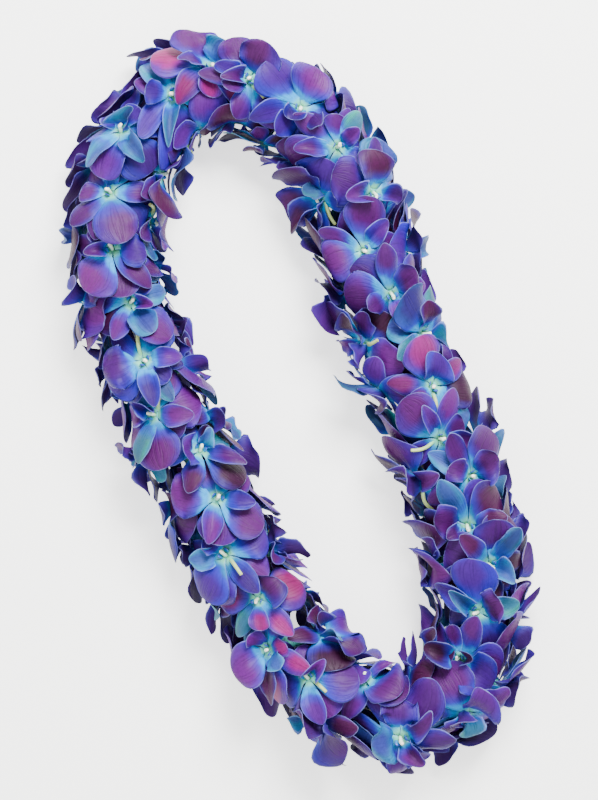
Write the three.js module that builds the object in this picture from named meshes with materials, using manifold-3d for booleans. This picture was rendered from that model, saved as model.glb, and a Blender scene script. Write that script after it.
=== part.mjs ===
// Fresh flower lei: ninety-three dyed orchid blooms strung on a closed cotton thread and laid down
// flat as a long oval ring. Millimetres, +Z up. The lei rests on the plane z = 0, and the
// origin lies on that plane under the middle of the ring.
//
// Each bloom lies on its own gently leaning sheet that wraps round the thread. The sheets of
// the string are stacked like shingles, so a bloom passes over one neighbour and under the
// next without crossing it, and single petals are then lifted where there is room for them.

import * as THREE from 'three';
import Module from 'manifold-3d';

const wasm = await Module();
wasm.setup();

// The thread: the points that it runs through, seen from above, anticlockwise from one end
const THREAD_PATH = [
  [14, 226], [-36, 198], [-71, 149], [-82, 90], [-81, 32], [-78, -25],
  [-72, -83], [-64, -139], [-47, -195], [1, -231], [52, -202], [75, -147],
  [82, -88], [82, -31], [81, 27], [86, 85], [91, 142], [65, 194],
];
const THREAD_HEIGHT = 27;
const THREAD_RADIUS = 0.75;
const THREAD_SIDES = 4;
const THREAD_GAP = 0.35;
const KNOT_RADIUS = 2.1;
const RING_OFFSET = [-0.7, 2.2];

// The string of blooms
const NODE_COUNT = 31;
const BLOOMS_PER_NODE = 3;
const HUB_HEIGHT = 24.5;
const LEAN = 0.27;
const SIDE_TURN = 108;
const SMALLEST = 0.98;
const LARGEST = 1.08;
const BEND_GAIN = 7;
const BEND_EVEN = 0.5;
const SLIP_ALONG = 3.5;
const SLIP_AROUND = 14;
const SEED = 20261;

// The bloom of each node that faces up: how far along the thread, how far outwards from
// above it, and which way its dorsal sepal points, in degrees from along to inwards
const FACING = [
  [10, 0, 140], [49, 12, -13], [88, 5, 103], [125, 0, 40], [163, -6, -46], [203, -1, -149],
  [239, 8, 70], [274, -11, -49], [308, -6, -45], [344, 6, 20], [380, 2, 156], [412, 14, -100],
  [442, 3, -30], [476, -19, -88], [511, 10, 130], [548, 16, -3], [575, -9, -156], [611, -2, -77],
  [642, 8, 45], [670, -1, 13], [700, 11, -120], [731, 1, 103], [765, 10, -73], [800, 18, 107],
  [834, 7, 0], [867, -3, 52], [902, 13, -17], [937, 4, 150], [972, 7, -90], [1008, 7, -134],
  [1033, 14, -90],
];

// One bloom, flat: blades grow from a small heart. Stations are [distance, half width].
// The blades are the dorsal sepal, a petal, a sepal, the lip, a sepal and a petal. Each has
// its direction round the heart and how far it may be lifted, in degrees.
const BLADE = 0.8;
const HEART_RADIUS = 4.4;
const ROOT_HALF = 2.2;
const PETAL = [[0, ROOT_HALF], [9, 7.6], [19.5, 14.8], [29.5, 7]];
const SEPAL = [[0, ROOT_HALF], [15, 6.4], [28.5, 0]];
const LIP = [[0, ROOT_HALF], [7.5, 1.6], [15.5, 7]];
const BLADES = [
  { angle: 90, shape: SEPAL, lift: [0, 65] },
  { angle: 166, shape: PETAL, lift: [0, 38] },
  { angle: 229, shape: SEPAL, lift: [0, 40] },
  { angle: 270, shape: LIP, lift: [32, 48] },
  { angle: 311, shape: SEPAL, lift: [0, 40] },
  { angle: 374, shape: PETAL, lift: [0, 38] },
];

// How a blade is lifted: steeper at its root than at its tip, and only as far as it keeps
// its distance from the blades round it
const ROOT_LIFT = 1.3;
const TIP_LIFT = 0.6;
const LIFT_TRIES = [1, 0.7, 0.4, 0.2];
const REACH = 42;
const REACH_SHIFT = 3;
const CLEARANCE = 2.7;
const OWN_CLEARANCE = 2.3;
const OWN_START = 8;
const OWN_LIMIT = 0.001;
const SAMPLE_STEP = 3.6;
const LEAST_SIDE = 1;
const LEVEL_LIMIT = 0.01;

// The column in front of the heart, the neck behind it and the squeezed bases on the thread
const COLUMN_TURNS = [188, 296, 416];
const NECK_TURNS = [125, 245, 350];
const COLUMN_LENGTH = 5.5;
const COLUMN_RADIUS = 1.9;
const NECK_DEPTH = 4.5;
const NECK_RADIUS = 2.5;
const NECK_END_RADIUS = 1.9;
const CORE_RADIUS = 4.2;
const CORE_SIDES = 6;
const CORE_HALF = 11;
const CORE_INSET = 0.03;
const SEAT_SHARES = [0.12, 0.88];

// What lies under the thread is pressed towards the surface that carries the lei
const FIRM_DEPTH = 11;
const PRESS = 0.66;

// Low swells that all sheets share at one place: [height, waves along, turns round, phase]
const SWELLS = [[1.8, 21, 1, 0], [1.4, 13, -2, 1.3]];
const TIGHTEST = 0.5;

// The path is sampled, and its bends are eased over the neighbouring samples
const PATH_STEPS = 1440;
const EASE_STEPS = 28;
const EASE_ROUNDS = 2;
const BEND_REACH = 14;
const TANGENT_REACH = 2;

// Trimming of what still crosses: the gap left, the volume that counts, nodes looked ahead
const TRIM_GAP = 0.3;
const TRIM_LIMIT = 1e-4;
const TRIM_REACH = 3;

// Dyed petal colours, dealt out along the string
const PETAL_COLOURS = [0x5a3fd0, 0x7a35b8, 0x2f7fd6, 0x8e2f8e, 0x4a55d8, 0x3fb0d0];
const PETAL_ROUGHNESS = 0.45;
const COTTON = 0xe8e4d8;
const COTTON_ROUGHNESS = 0.9;

const radians = THREE.MathUtils.degToRad;
const BLOOM_COUNT = NODE_COUNT * BLOOMS_PER_NODE;

// A repeatable stream of numbers from 0 to 1
function makeDraw(seed) {
  let state = seed;
  return () => {
    state = (state * 1664525 + 1013904223) % 4294967296;
    return state / 4294967296;
  };
}

// The thread's path as a smooth closed curve, read by the length along it
const path = buildPath();

function buildPath() {
  const points = THREAD_PATH.map(([x, y]) => new THREE.Vector3(x, y, 0));
  const curve = new THREE.CatmullRomCurve3(points, true, 'catmullrom', 0.5);
  let samples = [];
  for (let i = 0; i < PATH_STEPS; i += 1) {
    samples.push(curve.getPoint(i / PATH_STEPS));
  }
  for (let round = 0; round < EASE_ROUNDS; round += 1) {
    samples = easeBends(samples);
  }
  samples.push(samples[0]);
  const lengths = [0];
  for (let i = 1; i <= PATH_STEPS; i += 1) {
    lengths.push(lengths[i - 1] + samples[i].distanceTo(samples[i - 1]));
  }
  return { samples, lengths, total: lengths[PATH_STEPS] };
}

// Moves every sample of a closed path to the middle of its neighbourhood
function easeBends(samples) {
  return samples.map((sample, i) => {
    const sum = new THREE.Vector3();
    for (let step = -EASE_STEPS; step <= EASE_STEPS; step += 1) {
      sum.add(samples[(i + step + samples.length) % samples.length]);
    }
    return sum.divideScalar(2 * EASE_STEPS + 1);
  });
}

function pathPoint(along) {
  const wrapped = ((along % path.total) + path.total) % path.total;
  let low = 0;
  let high = PATH_STEPS;
  while (high - low > 1) {
    const middle = (low + high) >> 1;
    if (path.lengths[middle] <= wrapped) {
      low = middle;
    } else {
      high = middle;
    }
  }
  const share = (wrapped - path.lengths[low]) / (path.lengths[high] - path.lengths[low]);
  return path.samples[low].clone().lerp(path.samples[high], share);
}

function pathDirection(along) {
  return pathPoint(along + TANGENT_REACH).sub(pathPoint(along - TANGENT_REACH)).normalize();
}

// How fast the path turns left, per mm
function pathBend(along) {
  const before = pathDirection(along - BEND_REACH);
  const after = pathDirection(along + BEND_REACH);
  const turn = before.x * after.y - before.y * after.x;
  return Math.asin(turn) / (2 * BEND_REACH);
}

function swell(along, angle) {
  const round = (2 * Math.PI * along) / path.total;
  return SWELLS.reduce((sum, [height, waves, turns, phase]) => (
    sum + height * Math.sin(waves * round + turns * angle + phase)
  ), 0);
}

function settle(height) {
  const depth = THREAD_HEIGHT - height;
  if (depth <= FIRM_DEPTH) {
    return height;
  }
  const pressed = FIRM_DEPTH + (depth - FIRM_DEPTH) * PRESS;
  return Math.max(THREAD_HEIGHT - pressed, BLADE / 2);
}

// A place given by the length along the thread, the angle round it and the distance from it
function place(along, angle, radius) {
  const centre = pathPoint(along);
  const direction = pathDirection(along);
  const across = radius * Math.cos(angle);
  const x = centre.x + direction.y * across;
  const y = centre.y - direction.x * across;
  return new THREE.Vector3(x, y, settle(THREAD_HEIGHT + radius * Math.sin(angle)));
}

// A place on a bloom: x runs along the thread, y round it, and rise lifts it off its sheet
function onBloom(bloom, x, y, rise) {
  const base = HUB_HEIGHT + (bloom.along - bloom.level + x) * LEAN + rise;
  const angle = bloom.angle + y / base;
  const stretch = Math.max(TIGHTEST, 1 + bloom.bend * base * Math.cos(angle));
  const along = bloom.along + x / stretch;
  return place(along, angle, base + swell(along, angle));
}

// A place on one blade, by the distance from its root and the distance off its midline.
// A lifted blade starts steep and bends back outwards on an even arc.
function onBlade(bloom, blade, lift, distance, off) {
  const length = blade.shape[blade.shape.length - 1][0];
  const start = ROOT_LIFT * lift;
  const curl = ((ROOT_LIFT - TIP_LIFT) * lift) / length;
  const pitch = start - curl * distance;
  const out = lift > 0 ? (Math.sin(start) - Math.sin(pitch)) / curl : distance;
  const rise = lift > 0 ? (Math.cos(pitch) - Math.cos(start)) / curl : 0;
  const direction = bloom.spin + radians(blade.angle - 90);
  const reach = HEART_RADIUS + out * bloom.size;
  const x = reach * Math.cos(direction) - off * bloom.size * Math.sin(direction);
  const y = reach * Math.sin(direction) + off * bloom.size * Math.cos(direction);
  return onBloom(bloom, x, y, rise * bloom.size);
}

// The blooms are strung evenly between those that face up
function levelOf(node, side) {
  const own = FACING[node][0];
  const next = FACING[(node + side + NODE_COUNT) % NODE_COUNT][0];
  const rounds = Math.round((own - next) / path.total);
  return own + (next + rounds * path.total - own) / BLOOMS_PER_NODE;
}

function layOutBlooms() {
  const draw = makeDraw(SEED);
  const blooms = [];
  for (let i = 0; i < BLOOM_COUNT; i += 1) {
    const node = Math.floor(i / BLOOMS_PER_NODE);
    const side = (i % BLOOMS_PER_NODE) - 1;
    const level = levelOf(node, side);
    const [, across, facingSpin] = FACING[node];
    const slipAlong = SLIP_ALONG * (2 * draw() - 1);
    const slip = radians(side * SIDE_TURN + SLIP_AROUND * (2 * draw() - 1));
    const spin = 360 * draw();
    const facing = Math.acos(across / HUB_HEIGHT);
    const bloom = {
      level,
      along: side === 0 ? level : level + slipAlong,
      angle: side === 0 ? facing : facing + slip,
      spin: radians(side === 0 ? facingSpin : spin),
      size: SMALLEST + (LARGEST - SMALLEST) * draw(),
      lifts: BLADES.map(() => 0),
      wishes: BLADES.map(({ lift }) => radians(lift[0] + (lift[1] - lift[0]) * draw())),
    };
    bloom.bend = pathBend(bloom.along);
    bloom.size *= 1 + BEND_GAIN * bloom.bend * (BEND_EVEN + Math.cos(bloom.angle));
    blooms.push(bloom);
  }
  return blooms;
}

// Half width of a blade at a distance from its root
function halfWidth(shape, distance) {
  for (let i = 1; i < shape.length; i += 1) {
    if (distance <= shape[i][0]) {
      const share = (distance - shape[i - 1][0]) / (shape[i][0] - shape[i - 1][0]);
      return shape[i - 1][1] + share * (shape[i][1] - shape[i - 1][1]);
    }
  }
  return shape[shape.length - 1][1];
}

// Points spread over one blade, to measure how near two blades come
function samplePoints(bloom, index, lift, start = 0) {
  const blade = BLADES[index];
  const length = blade.shape[blade.shape.length - 1][0];
  const rows = Math.ceil((length - start) / SAMPLE_STEP);
  const points = [];
  for (let row = 1; row <= rows; row += 1) {
    const distance = start + ((length - start) * row) / rows;
    const half = halfWidth(blade.shape, distance);
    const columns = Math.max(1, Math.ceil((2 * half) / SAMPLE_STEP));
    for (let column = 0; column <= columns; column += 1) {
      const off = half * ((2 * column) / columns - 1);
      points.push(onBlade(bloom, blade, lift, distance, off));
    }
  }
  return points;
}

// Blades that are lifted off their sheet keep clear of every other blade of the string
function liftBlades(blooms) {
  const samples = blooms.map((bloom) => BLADES.map((blade, index) => samplePoints(bloom, index, 0)));
  const reach = 2 * BLOOMS_PER_NODE + 1;
  blooms.forEach((bloom, i) => {
    bloom.wishes.forEach((wish, index) => {
      for (const share of LIFT_TRIES) {
        const lift = wish * share;
        if (!isWithinReach(bloom, index, lift) || !isClearOfOwn(bloom, index, lift)) {
          continue;
        }
        const points = samplePoints(bloom, index, lift);
        if (!isClear(points, samples, i, reach)) {
          continue;
        }
        const before = bloom.lifts[index];
        bloom.lifts[index] = lift;
        if (isWhole(bloom)) {
          samples[i][index] = points;
          break;
        }
        bloom.lifts[index] = before;
      }
    });
  });
}

function isClearOfOwn(bloom, index, lift) {
  const points = samplePoints(bloom, index, lift, OWN_START);
  const count = BLADES.length;
  return [(index + 1) % count, (index + count - 1) % count].every((other) => {
    const others = samplePoints(bloom, other, bloom.lifts[other], OWN_START);
    return points.every((own) => others.every((point) => own.distanceTo(point) > OWN_CLEARANCE));
  });
}

// No blade of a bloom crosses its heart or another of its blades
function isWhole(bloom) {
  const parts = bloomParts(bloom, () => pathPoint(bloom.along).setZ(THREAD_HEIGHT), 0);
  return parts.every((part, k) => parts.slice(k + 1).every((other) => (
    part.intersect(other).volume() < OWN_LIMIT
  )));
}

// Lifted tips stand further out on the outside of the ring than on the inside
function isWithinReach(bloom, index, lift) {
  const blade = BLADES[index];
  const tip = onBlade(bloom, blade, lift, blade.shape[blade.shape.length - 1][0], 0);
  const foot = pathPoint(bloom.along);
  const direction = pathDirection(bloom.along);
  const outward = (tip.x - foot.x) * direction.y - (tip.y - foot.y) * direction.x;
  const radius = Math.hypot(outward, tip.z - THREAD_HEIGHT);
  return radius <= REACH + (REACH_SHIFT * outward) / radius;
}

function isClear(points, samples, i, reach) {
  const limit = CLEARANCE * CLEARANCE;
  const box = new THREE.Box3().setFromPoints(points).expandByScalar(CLEARANCE);
  for (let step = -reach; step <= reach; step += 1) {
    if (step === 0) {
      continue;
    }
    const other = (i + step + samples.length) % samples.length;
    for (const blade of samples[other]) {
      for (const point of blade) {
        if (box.containsPoint(point) && points.some((own) => own.distanceToSquared(point) < limit)) {
          return false;
        }
      }
    }
  }
  return true;
}

// A closed body under construction: points and triangles by index
class Shell {
  constructor() {
    this.points = [];
    this.triangles = [];
  }

  // No point reaches below the surface that carries the lei
  add(point) {
    this.points.push(point.setZ(Math.max(point.z, 0)));
    return this.points.length - 1;
  }

  addAll(points) {
    return points.map((point) => this.add(point));
  }

  face(a, b, c) {
    this.triangles.push(a, b, c);
  }

  // The wall between two neighbouring pairs of front and back points
  wall(pair, next) {
    this.face(pair.front, pair.back, next.back);
    this.face(pair.front, next.back, next.front);
  }

  // Joins an outer ring of points to an inner one with fewer points, seen anticlockwise
  bridge(outer, inner) {
    const share = outer.length / inner.length;
    for (let k = 0; k < inner.length; k += 1) {
      for (let step = 0; step < share; step += 1) {
        const from = k * share + step;
        this.face(outer[from], outer[(from + 1) % outer.length], inner[k]);
      }
      const next = (k + 1) % inner.length;
      this.face(outer[(next * share) % outer.length], inner[next], inner[k]);
    }
  }

  cap(ring) {
    for (let k = 1; k < ring.length - 1; k += 1) {
      this.face(ring[0], ring[k], ring[k + 1]);
    }
  }

  solid() {
    const vertProperties = new Float32Array(this.points.flatMap((point) => point.toArray()));
    const triVerts = new Uint32Array(this.triangles);
    return new wasm.Manifold(new wasm.Mesh({ numProp: 3, vertProperties, triVerts }));
  }
}

// One blade: front and back points of each station, right side first, and their walls
function addBlade(shell, bloom, index, root, grow) {
  const blade = BLADES[index];
  const lift = bloom.lifts[index];
  const stations = blade.shape.slice(1).map(([distance, half], k, list) => ({
    far: distance + (k === list.length - 1 ? grow : 0),
    half: half > 0 ? half + grow : 0,
  }));
  const middle = (far) => onBlade(bloom, blade, lift, far, 0);
  const outline = stations.map(({ far, half }, k) => {
    const before = k === 0 ? middle(0) : middle(stations[k - 1].far);
    const after = k === stations.length - 1 ? middle(far) : middle(stations[k + 1].far);
    const side = Math.max(half, LEAST_SIDE);
    const rightPoint = onBlade(bloom, blade, lift, far, -side);
    const leftPoint = onBlade(bloom, blade, lift, far, side);
    const length = after.sub(before);
    const normal = leftPoint.clone().sub(rightPoint).cross(length).negate().normalize();
    if (Math.max(rightPoint.z, leftPoint.z) < BLADE / 2 + LEVEL_LIMIT) {
      normal.set(0, 0, Math.sign(normal.z));
    }
    if (half > 0) {
      const right = addPair(shell, rightPoint, normal, grow);
      return { right, left: addPair(shell, leftPoint, normal, grow) };
    }
    const tip = addPair(shell, middle(far), normal, grow);
    return { right: tip, left: tip };
  });
  let previous = root;
  for (const station of outline) {
    if (station.right === station.left) {
      shell.face(previous.right.front, station.right.front, previous.left.front);
      shell.face(previous.right.back, previous.left.back, station.right.back);
    } else {
      shell.face(previous.right.front, station.right.front, station.left.front);
      shell.face(previous.right.front, station.left.front, previous.left.front);
      shell.face(previous.right.back, station.left.back, station.right.back);
      shell.face(previous.right.back, previous.left.back, station.left.back);
    }
    previous = station;
  }
  const rim = [root.right, ...outline.map((station) => station.right)];
  const returning = outline.map((station) => station.left).reverse();
  if (rim[rim.length - 1] === returning[0]) {
    returning.shift();
  }
  rim.push(...returning, root.left);
  for (let k = 1; k < rim.length; k += 1) {
    shell.wall(rim[k - 1], rim[k]);
  }
}

// The front and back point of a blade at one place
function addPair(shell, point, normal, grow) {
  const half = BLADE / 2 + grow;
  const front = point.clone().addScaledVector(normal, half);
  const back = point.clone().addScaledVector(normal, -half);
  return { front: shell.add(front), back: shell.add(back) };
}

// The heart of a bloom: its middle, its axes and the corners between its blades
function heartOf(bloom, grow) {
  const centre = onBloom(bloom, 0, 0, 0);
  const alongAxis = onBloom(bloom, 1, 0, 0).sub(onBloom(bloom, -1, 0, 0)).normalize();
  const aroundAxis = onBloom(bloom, 0, 1, 0).sub(onBloom(bloom, 0, -1, 0)).normalize();
  const normal = alongAxis.clone().cross(aroundAxis).normalize();
  const corners = BLADES.map((blade, index) => {
    const next = BLADES[(index + 1) % BLADES.length];
    const gap = (next.angle - blade.angle + 360) % 360;
    const turn = bloom.spin + radians(blade.angle + gap / 2 - 90);
    const radius = HEART_RADIUS * bloom.size + grow;
    return onBloom(bloom, radius * Math.cos(turn), radius * Math.sin(turn), 0);
  });
  return { centre, alongAxis, aroundAxis, normal, corners };
}

// A whole bloom: the heart with its blades round it
function bloomSolid(bloom, seatAt) {
  const shell = new Shell();
  const heart = heartOf(bloom, 0);
  const corners = heart.corners.map((corner) => addPair(shell, corner, heart.normal, 0));
  corners.forEach((left, index) => {
    const right = corners[(index + corners.length - 1) % corners.length];
    addBlade(shell, bloom, index, { right, left }, 0);
  });
  addColumnAndNeck(shell, bloom, seatAt, heart, corners, 0);
  return shell.solid();
}

// The heart and each blade of a bloom as closed bodies of their own, thicker by grow
function bloomParts(bloom, seatAt, grow) {
  const shell = new Shell();
  const heart = heartOf(bloom, grow);
  const corners = heart.corners.map((corner) => addPair(shell, corner, heart.normal, grow));
  corners.forEach((corner, index) => {
    shell.wall(corner, corners[(index + 1) % corners.length]);
  });
  addColumnAndNeck(shell, bloom, seatAt, heart, corners, grow);
  const blades = BLADES.map((blade, index) => {
    const own = new Shell();
    const before = heart.corners[(index + corners.length - 1) % corners.length];
    const right = addPair(own, before, heart.normal, grow);
    const left = addPair(own, heart.corners[index], heart.normal, grow);
    addBlade(own, bloom, index, { right, left }, grow);
    own.wall(left, right);
    return own.solid();
  });
  return [shell.solid(), ...blades];
}

// The column stands in front of the ring of corners, and the neck runs back to the thread
function addColumnAndNeck(shell, bloom, seatAt, heart, corners, grow) {
  const { centre, alongAxis, aroundAxis, normal } = heart;
  const stub = (at, radius, turns) => shell.addAll(turns.map((angle) => {
    const turn = bloom.spin + radians(angle - 90);
    const point = at.clone().addScaledVector(alongAxis, radius * Math.cos(turn));
    return point.addScaledVector(aroundAxis, radius * Math.sin(turn));
  }));
  const columnTop = centre.clone().addScaledVector(normal, COLUMN_LENGTH + grow);
  const column = stub(columnTop, COLUMN_RADIUS + grow, COLUMN_TURNS);
  shell.bridge(corners.map(({ front }) => front), column);
  shell.cap(column);
  const neckTop = centre.clone().addScaledVector(normal, -NECK_DEPTH);
  const neck = stub(neckTop, NECK_RADIUS + grow, NECK_TURNS).reverse();
  const seat = seatAt(bloom.along);
  const inward = seat.clone().sub(neckTop).normalize();
  const end = seat.clone().addScaledVector(inward, CORE_RADIUS / 2);
  const foot = stub(end, NECK_END_RADIUS + grow, NECK_TURNS).reverse();
  shell.bridge(corners.map(({ back }) => back).reverse(), neck);
  neck.forEach((point, k) => {
    const next = (k + 1) % neck.length;
    shell.face(neck[k], neck[next], foot[next]);
    shell.face(neck[k], foot[next], foot[k]);
  });
  shell.cap(foot);
}

// The straight stretch of thread that runs through one node's blooms
function stretchOf(node) {
  const middle = FACING[node][0];
  const from = pathPoint(middle - CORE_HALF).setZ(THREAD_HEIGHT);
  const to = pathPoint(middle + CORE_HALF).setZ(THREAD_HEIGHT);
  const seatAt = (along) => {
    const share = THREE.MathUtils.clamp(0.5 + (along - middle) / (2 * CORE_HALF), ...SEAT_SHARES);
    return from.clone().lerp(to, share);
  };
  return { from, to, seatAt };
}

// A straight bar with a regular section, from one point to another
function bar(from, to, radius, sides) {
  const shell = new Shell();
  const axis = to.clone().sub(from).normalize();
  const sideways = new THREE.Vector3(axis.y, -axis.x, 0);
  const section = (at) => shell.addAll(ringPoints(at, sideways, radius, sides));
  const start = section(from);
  const end = section(to);
  for (let k = 0; k < sides; k += 1) {
    const next = (k + 1) % sides;
    shell.face(start[k], end[next], start[next]);
    shell.face(start[k], end[k], end[next]);
  }
  shell.cap(start);
  shell.cap([...end].reverse());
  return shell.solid();
}

function ringPoints(at, sideways, radius, sides) {
  const points = [];
  for (let k = 0; k < sides; k += 1) {
    const turn = (2 * Math.PI * k) / sides;
    const point = at.clone().addScaledVector(sideways, radius * Math.cos(turn));
    point.z += radius * Math.sin(turn);
    points.push(point);
  }
  return points;
}

// Three neighbouring blooms, with their squeezed bases as a short core round the thread
function nodeSolid(blooms, node) {
  const stretch = stretchOf(node);
  const inset = stretch.to.clone().sub(stretch.from).multiplyScalar(CORE_INSET);
  const coreFrom = stretch.from.clone().add(inset);
  const coreTo = stretch.to.clone().sub(inset);
  let solid = bar(coreFrom, coreTo, CORE_RADIUS, CORE_SIDES);
  for (let k = 0; k < BLOOMS_PER_NODE; k += 1) {
    solid = solid.add(bloomSolid(blooms[node * BLOOMS_PER_NODE + k], stretch.seatAt));
  }
  const from = stretch.from.clone().sub(inset);
  const to = stretch.to.clone().add(inset);
  return solid.subtract(bar(from, to, THREAD_RADIUS + THREAD_GAP, THREAD_SIDES));
}

// Where two nodes still cross, the second one is trimmed clear of the first
function trimNodes(solids, blooms) {
  for (let node = 0; node < NODE_COUNT; node += 1) {
    for (let step = 1; step <= TRIM_REACH; step += 1) {
      const other = (node + step) % NODE_COUNT;
      if (solids[node].intersect(solids[other]).volume() < TRIM_LIMIT) {
        continue;
      }
      const { seatAt } = stretchOf(node);
      for (let k = 0; k < BLOOMS_PER_NODE; k += 1) {
        const bloom = blooms[node * BLOOMS_PER_NODE + k];
        const grown = bloomParts(bloom, seatAt, TRIM_GAP);
        bloomParts(bloom, seatAt, 0).forEach((part, index) => {
          if (part.intersect(solids[other]).volume() >= TRIM_LIMIT) {
            solids[other] = solids[other].subtract(grown[index]);
          }
        });
      }
      solids[other] = largestBody(solids[other]);
    }
  }
}

function largestBody(solid) {
  const bodies = solid.decompose();
  bodies.sort((a, b) => b.volume() - a.volume());
  return bodies[0];
}

// The thread follows the cores in straight stretches and is tied with a small knot
function threadSolid() {
  const shell = new Shell();
  const corners = [];
  for (let node = 0; node < NODE_COUNT; node += 1) {
    const { from, to } = stretchOf(node);
    corners.push(from, to);
  }
  const rings = corners.map((corner, k) => {
    const before = corners[(k + corners.length - 1) % corners.length];
    const after = corners[(k + 1) % corners.length];
    const ahead = after.clone().sub(corner).normalize();
    const behind = corner.clone().sub(before).normalize();
    const axis = ahead.add(behind).normalize();
    const sideways = new THREE.Vector3(axis.y, -axis.x, 0);
    return shell.addAll(ringPoints(corner, sideways, THREAD_RADIUS, THREAD_SIDES));
  });
  rings.forEach((ring, k) => {
    const following = rings[(k + 1) % rings.length];
    for (let side = 0; side < THREAD_SIDES; side += 1) {
      const next = (side + 1) % THREAD_SIDES;
      shell.face(ring[side], following[next], ring[next]);
      shell.face(ring[side], following[side], following[next]);
    }
  });
  const knotAt = corners[corners.length - 1].clone().lerp(corners[0], 0.5);
  const knot = new Shell();
  const ball = new THREE.IcosahedronGeometry(KNOT_RADIUS, 0);
  const seen = new Map();
  const position = ball.getAttribute('position');
  for (let k = 0; k < position.count; k += 1) {
    const point = new THREE.Vector3().fromBufferAttribute(position, k);
    const key = point.toArray().map((value) => value.toFixed(4)).join();
    if (!seen.has(key)) {
      seen.set(key, knot.add(point.add(knotAt)));
    }
    knot.triangles.push(seen.get(key));
  }
  return shell.solid().add(knot.solid());
}

function toMesh(solid, name, colour, roughness) {
  const { vertProperties, triVerts } = solid.getMesh();
  const geometry = new THREE.BufferGeometry();
  geometry.setAttribute('position', new THREE.BufferAttribute(vertProperties, 3));
  geometry.setIndex(new THREE.BufferAttribute(triVerts, 1));
  geometry.computeVertexNormals();
  const material = new THREE.MeshStandardMaterial({ color: colour, roughness, metalness: 0 });
  const mesh = new THREE.Mesh(geometry, material);
  mesh.name = name;
  return mesh;
}

const lei = new THREE.Group();
lei.position.set(RING_OFFSET[0], RING_OFFSET[1], 0);
const blooms = layOutBlooms();
liftBlades(blooms);
const solids = [];
for (let node = 0; node < NODE_COUNT; node += 1) {
  solids.push(largestBody(nodeSolid(blooms, node)));
}
trimNodes(solids, blooms);
solids.forEach((solid, node) => {
  const name = `blooms_${String(node + 1).padStart(2, '0')}`;
  lei.add(toMesh(solid, name, PETAL_COLOURS[node % PETAL_COLOURS.length], PETAL_ROUGHNESS));
});
lei.add(toMesh(threadSolid(), 'thread', COTTON, COTTON_ROUGHNESS));

export default lei;
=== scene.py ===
"""Fresh orchid lei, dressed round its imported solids.

The blooms follow the same rule as their solids do: each one lies on a gently leaning sheet
that wraps round the thread, and the sheets are stacked like shingles. The rule works in
millimetres. Meshes are in metres.
"""

import math
from functools import cache
from itertools import product

import bpy
import numpy as np
from bpy.props import FloatProperty, FloatVectorProperty, IntProperty, PointerProperty
from mathutils import Euler, Matrix, Vector, kdtree


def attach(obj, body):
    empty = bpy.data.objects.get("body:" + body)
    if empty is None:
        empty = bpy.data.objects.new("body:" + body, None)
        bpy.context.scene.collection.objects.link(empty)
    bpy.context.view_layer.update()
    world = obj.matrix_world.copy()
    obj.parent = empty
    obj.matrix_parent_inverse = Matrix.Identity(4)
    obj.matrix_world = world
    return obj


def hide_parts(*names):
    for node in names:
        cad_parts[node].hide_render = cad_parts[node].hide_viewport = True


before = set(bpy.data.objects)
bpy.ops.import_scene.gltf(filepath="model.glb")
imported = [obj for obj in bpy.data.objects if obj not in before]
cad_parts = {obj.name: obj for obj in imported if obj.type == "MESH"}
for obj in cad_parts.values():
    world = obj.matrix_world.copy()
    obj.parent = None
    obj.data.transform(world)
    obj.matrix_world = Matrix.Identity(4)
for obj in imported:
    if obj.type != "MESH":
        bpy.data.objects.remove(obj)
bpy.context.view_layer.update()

bl_info = {
    "name": "Orchid Lei",
    "version": (1, 0, 0),
    "blender": (4, 5, 0),
    "location": "3D View > Sidebar > Lei",
    "description": "Strings a fresh lei of dyed orchid blooms",
    "category": "Object",
}

MM = 0.001

# The string, as its solids have it: the points that the thread runs through, from above
THREAD_PATH = [
    (14, 226), (-36, 198), (-71, 149), (-82, 90), (-81, 32), (-78, -25),
    (-72, -83), (-64, -139), (-47, -195), (1, -231), (52, -202), (75, -147),
    (82, -88), (82, -31), (81, 27), (86, 85), (91, 142), (65, 194),
]
PATH_STEPS = 1440
EASE_STEPS = 28
EASE_ROUNDS = 2
TANGENT_REACH = 2.0
BEND_REACH = 14.0
THREAD_HEIGHT = 27.0
THREAD_RADIUS = 0.75
RING_OFFSET = (-0.7, 2.2)

# The bloom of each node that faces up: how far along the thread, how far outwards from above
# it, which way its dorsal sepal points, in degrees from along to inwards, and its dye
FACING = [
    (10, 0, 140, "blue"), (49, 12, -13, "blue"), (88, 5, 103, "magenta"), (125, 0, 40, "rosy"),
    (163, -6, -46, "magenta"), (203, -1, -149, "blue"), (239, 8, 70, "rosy"),
    (274, -11, -49, "plum"), (308, -6, -45, "magenta"), (344, 6, 20, "blue"),
    (380, 2, 156, "hot"), (412, 14, -100, "hot"), (442, 3, -30, "indigo"),
    (476, -19, -88, "violet"), (511, 10, 130, "indigo"), (548, 16, -3, "violet"),
    (575, -9, -156, "magenta"), (611, -2, -77, "blue"), (642, 8, 45, "plum"),
    (670, -1, 13, "plum"), (700, 11, -120, "violet"), (731, 1, 103, "magenta"),
    (765, 10, -73, "pink"), (800, 18, 107, "cyan"), (834, 7, 0, "violet"),
    (867, -3, 52, "magenta"), (902, 13, -17, "indigo"), (937, 4, 150, "violet"),
    (972, 7, -90, "blue"), (1008, 7, -134, "violet"), (1033, 14, -90, "hot"),
]
BLOOMS_PER_NODE = 3
SEED = 20261
# The blooms are dealt by the same random draws as their solids
DRAW_FACTOR = 1664525
DRAW_STEP = 1013904223
DRAW_RANGE = 2**32

# The sheets that the blooms lie on: their distance from the thread and how much they lean
HUB_HEIGHT = 24.5
LEAN = 0.27
# The two blooms beside one that faces up: how far round the thread, and how much both vary
SIDE_TURN = 108.0
SLIP_ALONG = 3.5
SLIP_AROUND = 14.0
SMALLEST = 0.98
LARGEST = 1.08
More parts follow.
